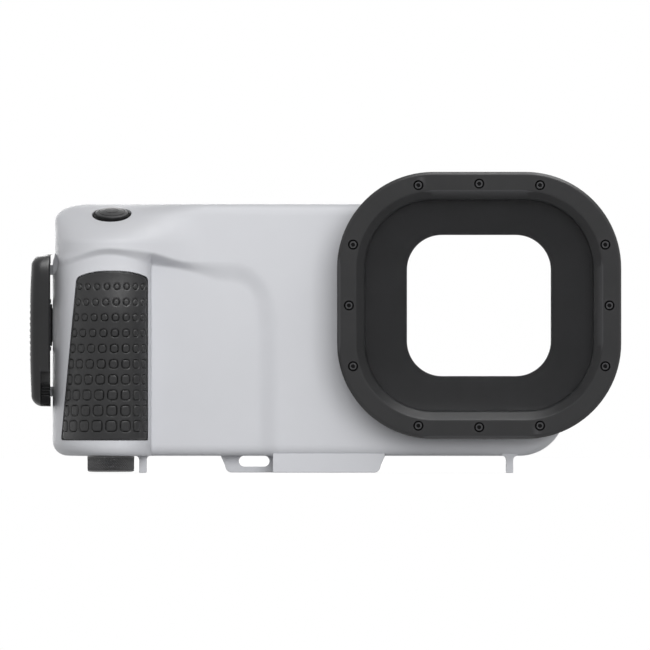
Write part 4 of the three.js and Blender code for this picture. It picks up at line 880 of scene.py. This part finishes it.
COVER_PROUD = 0.5
COVER_THICKNESS = 2.0
COVER_GRID = (210, 225)
COVER_EDGE_RADIUS = 0.7
COVER_ROWS = (6.2, 74.6)
ARC_SAMPLES = 1600
SAMPLE_MARGINS = (0.2, 0.25)
COLUMN_MARGINS = (3.2, 0.8)
PAD_ROWS = 10
PAD_REACH = (-5, 5)
PAD_TOP, PAD_BOTTOM = 74.6, 18.8
# Pitch, shift, radius and squareness of the pads, in the top and the bottom row
PAD_SPANS = [(4.1, 6.0), (0.4, -1.9), (1.15, 2.2), (2.2, 3.6)]
PAD_BAND = 3.5
PAD_GROOVE = 0.5
PAD_GROOVE_WIDTH = 0.25
PAD_MARK, PAD_MARK_WIDTH = 0.1, 0.4
PAD_SWELL = 0.12


def outline_distance(x, z, outline):
    """Distance from points to a closed outline."""
    best = np.full(x.shape, 1e9)
    for a, b in zip(outline, np.roll(outline, -1, axis=0)):
        edge = b - a
        length = edge @ edge
        if length == 0:
            continue
        t = clamp01(((x - a[0]) * edge[0] + (z - a[1]) * edge[1]) / length)
        best = np.minimum(best, np.hypot(x - a[0] - t * edge[0], z - a[1] - t * edge[1]))
    return best


def pad_groove(along, z):
    """Depth of the rings round the pads; along is the arc length from the ridge."""
    depth = np.zeros_like(along)
    for row in range(PAD_ROWS):
        share = row / (PAD_ROWS - 1)
        level = PAD_TOP + (PAD_BOTTOM - PAD_TOP) * share
        near = np.abs(z - level) < PAD_BAND
        pitch, shift, radius, power = [low + (high - low) * share for low, high in PAD_SPANS]
        for step in range(*PAD_REACH):
            off = (np.abs(along - shift - step * pitch) ** power + np.abs(z - level) ** power) ** (1 / power)
            ring = PAD_GROOVE * np.exp(-((off - radius) / PAD_GROOVE_WIDTH) ** 2)
            mark = PAD_MARK * np.exp(-(off / PAD_MARK_WIDTH) ** 2)
            swell = PAD_SWELL * clamp01(1 - (off / radius) ** 4)
            depth += np.where(near, ring + mark - swell, 0)
    return depth


def cover_grid():
    """Points of the grip at even arc lengths, with the arc length of each from the ridge."""
    rows = CASE_BOTTOM + np.linspace(*COVER_ROWS, COVER_GRID[1])
    fine = np.linspace(0, 1, ARC_SAMPLES)
    columns, lengths = [], []
    for z in rows:
        left, right = left_side(z) + SAMPLE_MARGINS[0], RECESS_FOOT - SAMPLE_MARGINS[1]
        x = np.concatenate([left + (RIDGE_X - left) * cosine(fine),
                            RIDGE_X + (right - RIDGE_X) * sine(fine[1:])])
        depth = grip_surface(x, np.full_like(x, z), -COVER_PROUD)
        length = np.concatenate([[0], np.cumsum(np.hypot(np.diff(x), np.diff(depth)))])
        length -= np.interp(RIDGE_X, x, length)
        start, stop = np.interp([-LEFT_REACH + COLUMN_MARGINS[0], RECESS_FOOT - COLUMN_MARGINS[1]], x, length)
        wanted = np.linspace(start, stop, COVER_GRID[0])
        columns.append(np.interp(wanted, length, x))
        lengths.append(wanted)
    x = np.array(columns).T
    return x, np.broadcast_to(rows, x.shape).copy(), np.array(lengths).T


def make_grip_cover():
    outline = cover_outline(0)
    x, z, along = cover_grid()
    place = np.stack([x, grip_surface(x, z, -COVER_PROUD), z], axis=-1)
    normal = np.cross(np.gradient(place, axis=1), np.gradient(place, axis=0))
    normal /= np.linalg.norm(normal, axis=-1, keepdims=True)
    edge = outline_distance(x, z, outline)
    sink = pad_groove(along, z) + roll(edge, COVER_EDGE_RADIUS)
    outer = place - normal * sink[..., None] * np.sign(normal[..., 1:2])
    inner = np.stack([x, grip_surface(x, z, COVER_THICKNESS), z], axis=-1)
    cover = skin("grip_rubber", outer, inner)
    meet(cover, prism("cover_edge", outline, 0, GRIP_DEPTH + 4 * OVERRUN))
    dress(cover, "rubber", "grip_cover", 50)


make_case()
make_grip_cover()


# Port

GLASS_BACK = 38.0
GLASS_FRONT = 41.0
LEDGE = 37.0
SCREW_SEAT = 43.4
SCREW_HEAD = 1.9
SCREW_INSET = 4.75
SCREW_SIDE = 24.3
SIDE_SCREW_DROP, SIDE_SCREW_INSET = 0.6, 1.65
BORE_RADIUS = 1.85
BEZEL_STEPS = 24
HOOD_REACH = 5.9
DISH_BACK = 18.8
DISH_FALL = 5.4
DISH_POWER = 0.6
DISH_SHARES = (1, 0.985, 0.95, 0.88, 0.78, 0.64, 0.48, 0.32, 0.18, 0.07)
SOCKET_RADIUS = 0.85
# Pairs of inset and depth
BEZEL_PROFILE = [
    (11, 41), (11, 41.4), (11, 42.15), (10.93, 42.4), (10.75, 42.68), (10.45, 43.0), (8.25, 45.3),
    (7.95, 45.62), (7.75, 45.82), (7.5, 45.95), (7.1, 46), (6.7, 46), (1.9, 46), (1.5, 46), (1.2, 45.97),
    (0.95, 45.86), (0.75, 45.66), (0.35, 45.25), (0.2, 45.1), (0.05, 44.9), (0, 44.6), (0, 44.2), (0, 41.4),
    (0, 41),
]


def hood_base(inset):
    return dish_outline(0, HOOD_REACH - inset)


def screw_places():
    out_x, out_z = [reach - SCREW_INSET for reach in BEZEL_HALF]
    places = []
    for way in (-1, 1):
        places += [(0, way * out_z), (way * out_x, 0)]
        for side in (-SCREW_SIDE, SCREW_SIDE):
            places += [(side, way * (out_z - SIDE_SCREW_DROP)), (way * (out_x - SIDE_SCREW_INSET), side)]
    return [(PORT_X + x, PORT_Z + z) for x, z in places]


def along_depth(centre):
    """Local height runs forward along the depth."""
    return lambda points: np.column_stack([points[:, 0] + centre[0], points[:, 2], points[:, 1] + centre[1]])


def at_screws(profile, steps):
    """One turned tool for each screw."""
    return [lathe("screw_hole", profile, along_depth(place), steps) for place in screw_places()]


def world_depth(depth):
    return to_world([(0, depth, 0)])[0][1]


def make_bezel():
    bezel = loft("port_frame", rings_at(port_outline, BEZEL_PROFILE, BEZEL_STEPS), looped=True)
    carve(bezel, *at_screws([(0, 40), (1.25, 40), (1.25, SCREW_SEAT), (BORE_RADIUS, SCREW_SEAT),
                             (BORE_RADIUS, 45.75), (2.1, 46.05), (2.1, 47), (0, 47)], 28))
    dress(bezel, "bezel", "port_bezel", 40)
    places = to_world([(x, 0, z) for x, z in screw_places()])[:, [0, 2]]
    back, front = world_depth(42), world_depth(PORT_FRONT - 0.02)
    # The counterbore walls round each screw take the darkest black: painted shade in the holes.
    tint(bezel, "black_and_hole_shade", lambda spot: front < spot[1] < back
         and np.hypot(*(places - np.array([spot[0], spot[2]])).T).min() < 2.15 * MM)


def make_hood():
    flare = [lifted(hood_base(0), 1, FRONT_DEPTH + 2.4), lifted(port_outline(0), 1, LEDGE - 0.4)]
    rings = rings_at(hood_base, [(0, FRONT_DEPTH), (0, FRONT_DEPTH + 2.1)])
    rings += [flare[0] * (1 - t) + flare[1] * t for t in (0.02, 0.97)]
    rings += rings_at(port_outline, [(0, LEDGE), (0, 40.7), (0.3, 41), (7.6, 41), (7.6, LEDGE)])
    rings += rings_at(dish_outline, [(share, LEDGE - DISH_FALL * (1 - share) ** DISH_POWER)
                                     for share in DISH_SHARES])
    rings += rings_at(dish_outline, [(0.01, 31.5), (0, 31.2), (0, DISH_BACK)])
    rings += rings_at(dish_outline, [(0, DISH_BACK), (0, FRONT_DEPTH)], 2.4)
    rings += rings_at(hood_base, [(3.4, FRONT_DEPTH), (3.4, FRONT_DEPTH + 1), (1.2, FRONT_DEPTH + 1),
                                  (1.2, FRONT_DEPTH)])
    hood = loft("port_funnel", rings, looped=True)
    carve(hood, *at_screws([(0, 37.5), (1.1, 37.5), (1.1, 42), (0, 42)], 12))
    dress(hood, "funnel", "port_hood", 38)


def make_pane():
    places = [(8.2, GLASS_BACK), (7.9, GLASS_BACK + 0.3), (7.9, GLASS_FRONT - 0.3), (8.2, GLASS_FRONT)]
    pane = loft("port_pane", rings_at(port_outline, places, BEZEL_STEPS))
    dress(pane, "glass", "port_glass", 40)


def make_screws():
    turn = np.random.default_rng(7)
    top = SCREW_SEAT + SCREW_HEAD
    profile = [(0, 37.8), (0.75, 37.8), (0.95, 38.1), (0.95, SCREW_SEAT), (1.5, SCREW_SEAT),
               (1.5, top - 0.28), (1.42, top - 0.08), (1.24, top), (0, top)]
    socket_floor = world_depth(top - 0.3)
    edge = [(0, top - 0.15), (SOCKET_RADIUS, top - 0.15), (1.02, top + 0.02), (0, top + 0.02)]
    for k, place in enumerate(screw_places(), 1):
        screw = lathe(f"cap_screw_{k:02d}", profile, along_depth(place), 28)
        spin = turn.uniform(0, math.pi / 3)
        hexagon = [(place[0] + SOCKET_RADIUS * math.cos(spin + i * math.pi / 3),
                    place[1] + SOCKET_RADIUS * math.sin(spin + i * math.pi / 3)) for i in range(6)]
        cone = lathe("socket_edge", edge, along_depth(place), 28)
        carve(screw, prism("socket", hexagon, top - 1.1, top + OVERRUN), cone)
        dress(screw, "dark_steel", f"port_screw_{k:02d}", 30)
        middle = to_world([(place[0], 0, place[1])])[0]
        # The faces inside each hex socket take the darkest black: painted shade in the socket.
        tint(screw, "black_and_hole_shade", lambda spot: spot[1] > socket_floor
             and math.hypot(spot[0] - middle[0], spot[2] - middle[2]) < (SOCKET_RADIUS + 0.02) * MM)


make_bezel()
make_hood()
make_pane()
make_screws()


# Shutter button

def make_shutter():
    cup = lathe("button_cup_ring", [(2.1, -4.6), (7.3, -4.6), (7.3, 1.15), (7.2, 1.35), (7.1, 1.4),
                                    (7.0, 1.3), (7.0, -3.6), (2.1, -3.6)], shutter_axis)
    skirt = [(7.15, -0.6), (7.75, -0.6), (7.75, 0.55), (7.45, 1.2), (7.15, 1.25)]
    join(cup, lathe("button_skirt", skirt, shutter_axis, 12))
    dress(cup, "black_and_hole_shade", "shutter_collar", 30)
    profile = [(0, -0.6), (6.7, -0.6), (6.7, 1.35), (6.6, 1.6), (6.35, 1.74), (5.5, 1.92), (5.35, 1.78),
               (5.15, 1.78), (5.0, 2.02), (3.9, 2.28), (2.9, 2.42), (2.8, 2.3), (2.55, 2.3), (2.45, 2.48),
               (1.2, 2.58), (0, 2.6)]
    cap = lathe("button_cap", profile, shutter_axis, 64)
    join(cap, post("button_stem_rod", 1.8, -11.7, 0, shutter_axis, 24))
    dress(cap, "black", "shutter_button", 28, "shutter")


# Springs: coils for the shutter button, the clamp and the rear buttons

SHUTTER_SPRING = (-3.5, -0.72)
REAR_SPRING = (4.6, 7.9)


def on_axis(place, height):
    """World point at a height on a local axis."""
    return to_world(place(np.array([[0, 0, height]])))[0]


def make_springs():
    floor, top = SHUTTER_SPRING
    spring = coil("shutter_coil", 3.2, 0.33, floor, top, 2.5, shutter_axis)
    dress(spring, "steel", "shutter_spring", 60)
    foot_point = on_axis(shutter_axis, floor)
    way = on_axis(shutter_axis, floor + 1) - foot_point
    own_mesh(spring)
    for k in (1, 2):
        low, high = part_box(f"clamp_spring_{k}")
        x, y = [(low[i] + high[i]) / 2 / MM for i in (0, 1)]
        place = upright(x - SHIFT_X, SHIFT_Y - y)
        spring = coil(f"clamp_coil_{k}", 1.98, 0.4, low[2] / MM, high[2] / MM, 7, place)
        dress(spring, "steel", f"clamp_spring_{k}", 60)
        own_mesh(spring)
    floor, top = REAR_SPRING
    for k, z in enumerate(REAR_HEIGHTS, 1):
        spring = coil(f"rear_coil_{k}", 3.2, 0.38, floor, top, 3, rear_axis(z))
        dress(spring, "steel", f"rear_spring_{k}", 60, "door")
        tuple(on_axis(rear_axis(z), floor))
        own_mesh(spring)


# Battery cap with its diamond knurl

KNOB_FLOOR, KNOB_TOP = 0.4, 6.85
KNOB_RADIUS = 9.4
KNURL_DEPTH = 0.36
KNURL_COUNT = 27.5
KNURL_TURN = 2.9
KNURL_TOP = 6.4
KNURL_FADE = 0.4
KNURL_STEEPNESS = 2.2
KNOB_CHAMFER, KNOB_CHAMFER_HEIGHT = 0.45, 0.7
COIN_SLOT = (10.4, 1.0, -0.6, 1.6)


def make_battery_cap(steps=330, levels=34):
    angles = np.arange(steps) * 2 * math.pi / steps
    radii = [(7.6, KNOB_FLOOR), (8.5, KNOB_FLOOR + 0.06)]
    for level in np.linspace(KNOB_FLOOR + 0.35, KNOB_TOP, levels):
        fade = clamp01(min(level - KNOB_FLOOR - KNURL_FADE, KNURL_TOP - level) / KNURL_FADE)
        turns = [np.sin(KNURL_COUNT * angles + way * level * KNURL_TURN) for way in (1, -1)]
        wave = np.maximum(*np.abs(turns))
        groove = KNURL_DEPTH * fade * (1 - KNURL_STEEPNESS * (1 - wave)).clip(0, 1)
        chamfer = KNOB_CHAMFER * (1 - clamp01((level - KNOB_FLOOR) / KNOB_CHAMFER_HEIGHT)) ** 2
        radii.append((KNOB_RADIUS - groove - chamfer, level))
    knob = loft("cap_knob", [lifted(circle(BATTERY, radius, steps), 2, level) for radius, level in radii])
    stem = [(0, 6.8), (10.3, 6.8), (10.5, 6.95), (10.5, 7.45), (8.6, 7.45), (8.6, 9.3), (7.2, 9.3),
            (7.2, 11.7), (8.6, 11.7), (8.6, 13.7), (8.3, 14), (0, 14)]
    join(knob, lathe("cap_stem", stem, battery_axis, 64))
    long, wide, floor, top = COIN_SLOT
    x, depth = BATTERY
    carve(knob, block("coin_slot", x - long, x + long, depth - wide, depth + wide, floor, top))
    dress(knob, "knurl", "battery_cap", 30, "cap")


make_springs()
make_shutter()
make_battery_cap()


# Side latch

LATCH_OUTER = -118.3
LATCH_INNER = -110.0
LATCH_FLOOR = 26.6
LATCH_TOP = 87.5
LATCH_BOW = 0.9
LATCH_FRONT = 27
LATCH_TOP_FALL, LATCH_TOP_LENGTH = 9, 11
LATCH_FLOOR_FALL, LATCH_FLOOR_LENGTH = 3, 4
LATCH_TOP_ROUND, LATCH_FLOOR_ROUND = 4.2, 4.4
CLAW_MIDDLE = 59.2
CLAW_HALF = 8.7
CLAW_PIN = (-111.0, 9.0)
GROOVES = 10
GROOVE_PITCH = 2.4
LOCK_HEIGHT = 8.8
LOCK_TRAVEL = 4


def latch_section(out, front):
    """Outline in x, depth with a round outer front corner."""
    inner, back = LATCH_INNER, 0.8
    points = [(inner, 3.0), (inner - 0.26, 1.46), (PIVOT[0], back)]
    points += arc((out + 3.2, back + 2.4), 2.4, 3, 2)[1:-1]
    points += [(out, 6.2)] + arc((out + 4.2, front - 4.2), 4.2, 2, 1, 8)
    return points + arc((inner - 1.1, front - 1.1), 1.1, 1, 0)


def latch_body(steps=12):
    """Lofted upwards: the outer side bows, and the ends turn back over round corners."""
    half, middle = (LATCH_TOP - LATCH_FLOOR) / 2, (LATCH_TOP + LATCH_FLOOR) / 2
    low = LATCH_FLOOR + LATCH_FLOOR_ROUND * spread(0, 1, steps, cosine)
    high = LATCH_TOP - LATCH_TOP_LENGTH * spread(1, 0, steps + 6, cosine)[1:]
    rings = []
    for z in [*low, *np.linspace(low[-1], high[0], 12)[1:-1], *high]:
        to_top, to_floor = LATCH_TOP - z, z - LATCH_FLOOR
        out = LATCH_OUTER + LATCH_BOW * ((z - middle) / half) ** 2
        out += roll(to_top, LATCH_TOP_ROUND) + roll(to_floor, LATCH_FLOOR_ROUND)
        front = LATCH_FRONT - roll(to_top, LATCH_TOP_LENGTH, LATCH_TOP_FALL)
        front -= roll(to_floor, LATCH_FLOOR_LENGTH, LATCH_FLOOR_FALL)
        rings.append(lifted(latch_section(out, front), 2, z))
    return loft("latch_grip", rings)


def make_latch():
    lever = latch_body()
    floor, top = CLAW_MIDDLE - CLAW_HALF, CLAW_MIDDLE + CLAW_HALF
    carve(lever, block("trough", LATCH_OUTER + 3.2, LATCH_INNER + OVERRUN, -OVERRUN, 21, LATCH_FLOOR + 3.6,
                       LATCH_TOP - 3.6),
          block("window", LATCH_OUTER - OVERRUN, LATCH_OUTER + 4.2, -2.2, 13, floor, top))
    join(lever, *[block("lug", LATCH_OUTER + 2.2, -109.8, 7.5, 10.5, *span)
                  for span in ((floor - 1.6, floor), (top, top + 1.6))])
    slot_top = LATCH_FLOOR + LOCK_HEIGHT + LOCK_TRAVEL + 1.2
    tools = [block("lock_slot", LATCH_INNER - 3.9, LATCH_INNER + OVERRUN, 21.7, 28, LATCH_FLOOR + 0.3,
                   slot_top)]
    for i in range(GROOVES):
        z = (LATCH_FLOOR + LATCH_TOP) / 2 + (i + 0.5 - GROOVES / 2) * GROOVE_PITCH
        groove = [(-OVERRUN, -1.9), (0.3, -0.4), (0.3, 0.4), (-OVERRUN, 1.9)]
        tools.append(prism("groove", np.array(groove) + (LATCH_OUTER, z), 6.2, 28))
    tools.append(column("claw_bore", circle(CLAW_PIN, 0.95, 20), CLAW_MIDDLE - 10, CLAW_MIDDLE + 10))
    for span in ((LATCH_FLOOR, EAR_SPANS[0][1] + 0.1), (EAR_SPANS[1][0] - 0.1, LATCH_TOP)):
        tools.append(column("pin_bore", circle(PIVOT, 1.3, 20), *span))
    carve(lever, *tools)
    soften(lever, 0.35, 40)
    dress(lever, "latch", "latch_lever", 40, "lever")


def make_lock():
    """Sliding lock with thumb ridges and a round lower edge."""
    floor = LATCH_FLOOR + 0.6
    back, front, top = 22.0, 26.7, floor + LOCK_HEIGHT
    side = [(back, top), (back, floor)] + arc((front - 2.4, floor + 2.4), 2.4, 3, 4)
    for i in range(4):
        z = floor + 3.6 + i * 1.1
        side += [(front, z), (front - 0.3, z + 0.3), (front - 0.3, z + 0.5), (front, z + 0.8)]
    side += arc((front - 0.5, top - 0.5), 0.5, 0, 1, 3)
    lock = soften(sweep("lock_slider", side, 0, LATCH_INNER - 3.6, LATCH_INNER), 0.12)
    dress(lock, "black_and_hole_shade", "latch_lock", 35, "lock")


make_latch()
make_lock()


# Rear door

DOOR_BACK = -10
DOOR_ROUND = 1.4
DOOR_WEB_BACK = -4.7
DOOR_PIN_GAP = 0.3
WINDOW = (-70, 91, 20.4, 100.2, 8)
WINDOW_REBATE = 2.1
SEAL_GROOVE_BACK = -2.1


def case_outline(inset):
    """Outline of the case, drawn in by the inset."""
    lower = CASE_BOTTOM + BOTTOM_RIGHT_RADIUS * spread(0, 1, 16, cosine)
    upper = CASE_TOP - TOP_RIGHT_RADIUS * spread(1, 0, 20, cosine)
    step = np.linspace(CASE_BOTTOM + BROW_HEIGHT - BROW_SIDE_DROP - 1, upper[0] - 0.5, 6)
    z = np.concatenate([lower, step, upper])
    points = np.concatenate([np.column_stack([right_side(z), z]), np.column_stack([left_side(z), z])[::-1]])
    middle = np.array([(RIGHT_REACH - LEFT_REACH) / 2, (CASE_BOTTOM + CASE_TOP) / 2])
    half = np.array([(RIGHT_REACH + LEFT_REACH) / 2, (CASE_TOP - CASE_BOTTOM) / 2])
    return middle + (points - middle) * (1 - inset / half)


def window_outline(margin):
    left, right, floor, top, radius = WINDOW
    return between(left - margin, right + margin, floor - margin, top + margin, radius + margin, 12)


def seal_outline(inset):
    return between(BOARD_BAY[0] - 3.6 + inset, PHONE_BAY[1] + 3.5 - inset, CASE_BOTTOM + 2.2 + inset,
                   PHONE_BAY[3] + 4.3 - inset, BOTTOM_RIGHT_RADIUS - 2.5 - inset, 12)


def make_door():
    rounding = arc((DOOR_ROUND, DOOR_BACK + DOOR_ROUND), DOOR_ROUND, 3, 2)
    door = loft("door_body", rings_at(case_outline, rounding + [(0, 0)]))
    join(door, *knuckles("door_knuckle", 1, DOOR_WEB_BACK, HINGE[1]))
    groove = [(-0.3, SEAL_GROOVE_BACK), (-0.3, 1), (2.3, 1), (2.3, SEAL_GROOVE_BACK)]
    tools = [prism("door_opening", window_outline(0), DOOR_BACK - OVERRUN, OVERRUN),
             prism("door_rebate", window_outline(WINDOW_REBATE), DOOR_BACK - OVERRUN, -4.4),
             loft("door_groove", rings_at(seal_outline, groove), looped=True), hinge_bore(DOOR_PIN_GAP)]
    for z in REAR_HEIGHTS:
        tools.append(post("rear_well", 5.9, 4.5, 11, rear_axis(z), 40))
        tools.append(post("rear_bore", 2.1, -OVERRUN, 10, rear_axis(z), 24))
    carve(door, *tools)
    dress(door, "shell", "door_frame", 38, "door")
    pane = loft("door_pane", rings_at(window_outline, [(1.6, -9), (1.8, -8.8), (1.8, -5.6), (1.6, -5.4)]))
    dress(pane, "glass", "door_window", 40, "door")
    profile = [(1.8, -9), (1.8, -10.1), (1.6, -10.3), (0.3, -10.3), (0.1, -10.2), (0, -10), (0, -9)]
    trim = loft("door_trim", rings_at(window_outline, profile), looped=True)
    dress(trim, "black", "window_bezel", 40, "door")


def make_rear_buttons():
    ring = [(5.9, 10), (7.5, 10), (7.5, 10.7), (7.3, 11.1), (6.9, 11.35), (6.5, 11.4), (6.0, 11.4),
            (5.9, 11.3)]
    profile = [(0, 8), (5.6, 8), (5.6, 13.1), (5.45, 13.5), (5.15, 13.8), (4.7, 13.95), (3.9, 14),
               (3.6, 13.8), (3.3, 13.72), (0, 13.6)]
    for k, z in enumerate(REAR_HEIGHTS, 1):
        collar = lathe(f"rear_ring_{k}", ring, rear_axis(z))
        dress(collar, "black", f"rear_collar_{k}", 30, "door")
        cap = lathe(f"rear_cap_{k}", profile, rear_axis(z))
        low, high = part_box(f"rear_button_{k}")
        join(cap, post("rear_stem", 1.8, low[1] / MM - SHIFT_Y, 8.5, rear_axis(z), 24))
        dress(cap, "black", f"rear_button_{k}", 28, f"rear_button_{k}")


make_door()
make_rear_buttons()


# Lights, floor and background

def lamp(name, place, size, share, aim=(0, 0, 0.06), in_gloss=True, in_diffuse=True):
    """A softbox that lights a surface facing it by the given share of full brightness."""
    data = bpy.data.lights.new(name, "AREA")
    data.shape = "RECTANGLE"
    data.size, data.size_y = size
    way = Vector(aim) - Vector(place)
    data.energy = share * math.pi ** 2 * way.length_squared
    piece = bpy.data.objects.new(name, data)
    piece.location = place
    piece.rotation_euler = way.to_track_quat("-Z", "Y").to_euler()
    piece.visible_glossy = in_gloss
    piece.visible_diffuse = in_diffuse
    bpy.context.scene.collection.objects.link(piece)


def seen_directly(nodes, links):
    """1 for camera, glossy and transmission rays."""
    path = nodes.new("ShaderNodeLightPath")
    seen = path.outputs["Is Camera Ray"]
    for ray in ("Is Glossy Ray", "Is Transmission Ray"):
        either = nodes.new("ShaderNodeMath")
        either.operation = "MAXIMUM"
        links.new(seen, either.inputs[0])
        links.new(path.outputs[ray], either.inputs[1])
        seen = either.outputs[0]
    return seen


def blend(tree, share, lower, upper, output):
    """Mixes two shaders by the share, into the surface of the output."""
    mix = tree.nodes.new("ShaderNodeMixShader")
    for source, socket in zip((share, lower.outputs[0], upper.outputs[0]), mix.inputs):
        tree.links.new(source, socket)
    tree.links.new(mix.outputs[0], tree.nodes[output].inputs["Surface"])


AMBIENT = 0.42
FLOOR_REACH = 1.0
FLOOR_LEVEL = 0.5
FLOOR_ROUGHNESS = 0.9
FLOOR_SPECULAR = 0.1
FLOOR_GLOW_SHARE = 0.65
FLOOR_GLOW = 1.37


def add_world():
    world = bpy.data.worlds.new("studio")
    bpy.context.scene.world = world
    world.use_nodes = True
    tree = world.node_tree
    ambient = fill(tree.nodes["Background"], {"Color": (1, 1, 1, 1), "Strength": AMBIENT})
    white = fill(tree.nodes.new("ShaderNodeBackground"), {"Color": (1, 1, 1, 1), "Strength": 1.0})
    blend(tree, seen_directly(tree.nodes, tree.links), ambient, white, "World Output")


def add_floor():
    mesh = bpy.data.meshes.new("floor")
    corners = [(-1, -1), (1, -1), (1, 1), (-1, 1)]
    mesh.from_pydata([(x * FLOOR_REACH, y * FLOOR_REACH, 0) for x, y in corners], [], [(0, 1, 2, 3)])
    floor = bpy.data.objects.new("floor", mesh)
    bpy.context.scene.collection.objects.link(floor)
    material = bpy.data.materials.new("floor_white")
    material.use_nodes = True
    tree = material.node_tree
    shader = fill(tree.nodes["Principled BSDF"], {
        "Base Color": (FLOOR_LEVEL, FLOOR_LEVEL, FLOOR_LEVEL, 1), "Roughness": FLOOR_ROUGHNESS,
        "Specular IOR Level": FLOOR_SPECULAR})
    glow = fill(tree.nodes.new("ShaderNodeEmission"), {"Strength": FLOOR_GLOW})
    share = tree.nodes.new("ShaderNodeMath")
    share.operation = "MULTIPLY"
    share.inputs[1].default_value = FLOOR_GLOW_SHARE
    tree.links.new(seen_directly(tree.nodes, tree.links), share.inputs[0])
    blend(tree, share.outputs[0], shader, glow, "Material Output")
    mesh.materials.append(material)


add_world()
add_floor()
lamp("front", (0.35, -2.6, 0.5), (2.0, 1.6), 0.80, in_gloss=False)
lamp("key", (0.6, -1.5, 1.3), (1.2, 1.0), 0.06)
lamp("top", (0.4, -0.25, 1.8), (2.0, 1.0), 1.5, in_diffuse=False)
lamp("back", (-0.5, 2.4, 0.5), (2.0, 1.6), 0.5)
lamp("left", (-2.2, 0.8, 0.5), (1.4, 1.2), 0.07)
lamp("right", (2.0, 1.5, 0.5), (1.4, 1.2), 0.25)
bpy.context.scene.view_settings.view_transform = "Standard"

NODE_BEVEL = 0.2
node_slots = {part["node"]: part["material_slot"] for part in frame["record"]["subparts"]}
for name, node in frame["nodes"].items():
    paint(node, PLAIN[node_slots[name]])
    if node_slots[name] not in ("seal_black", "steel", "glass_clear"):
        soften(node, NODE_BEVEL)
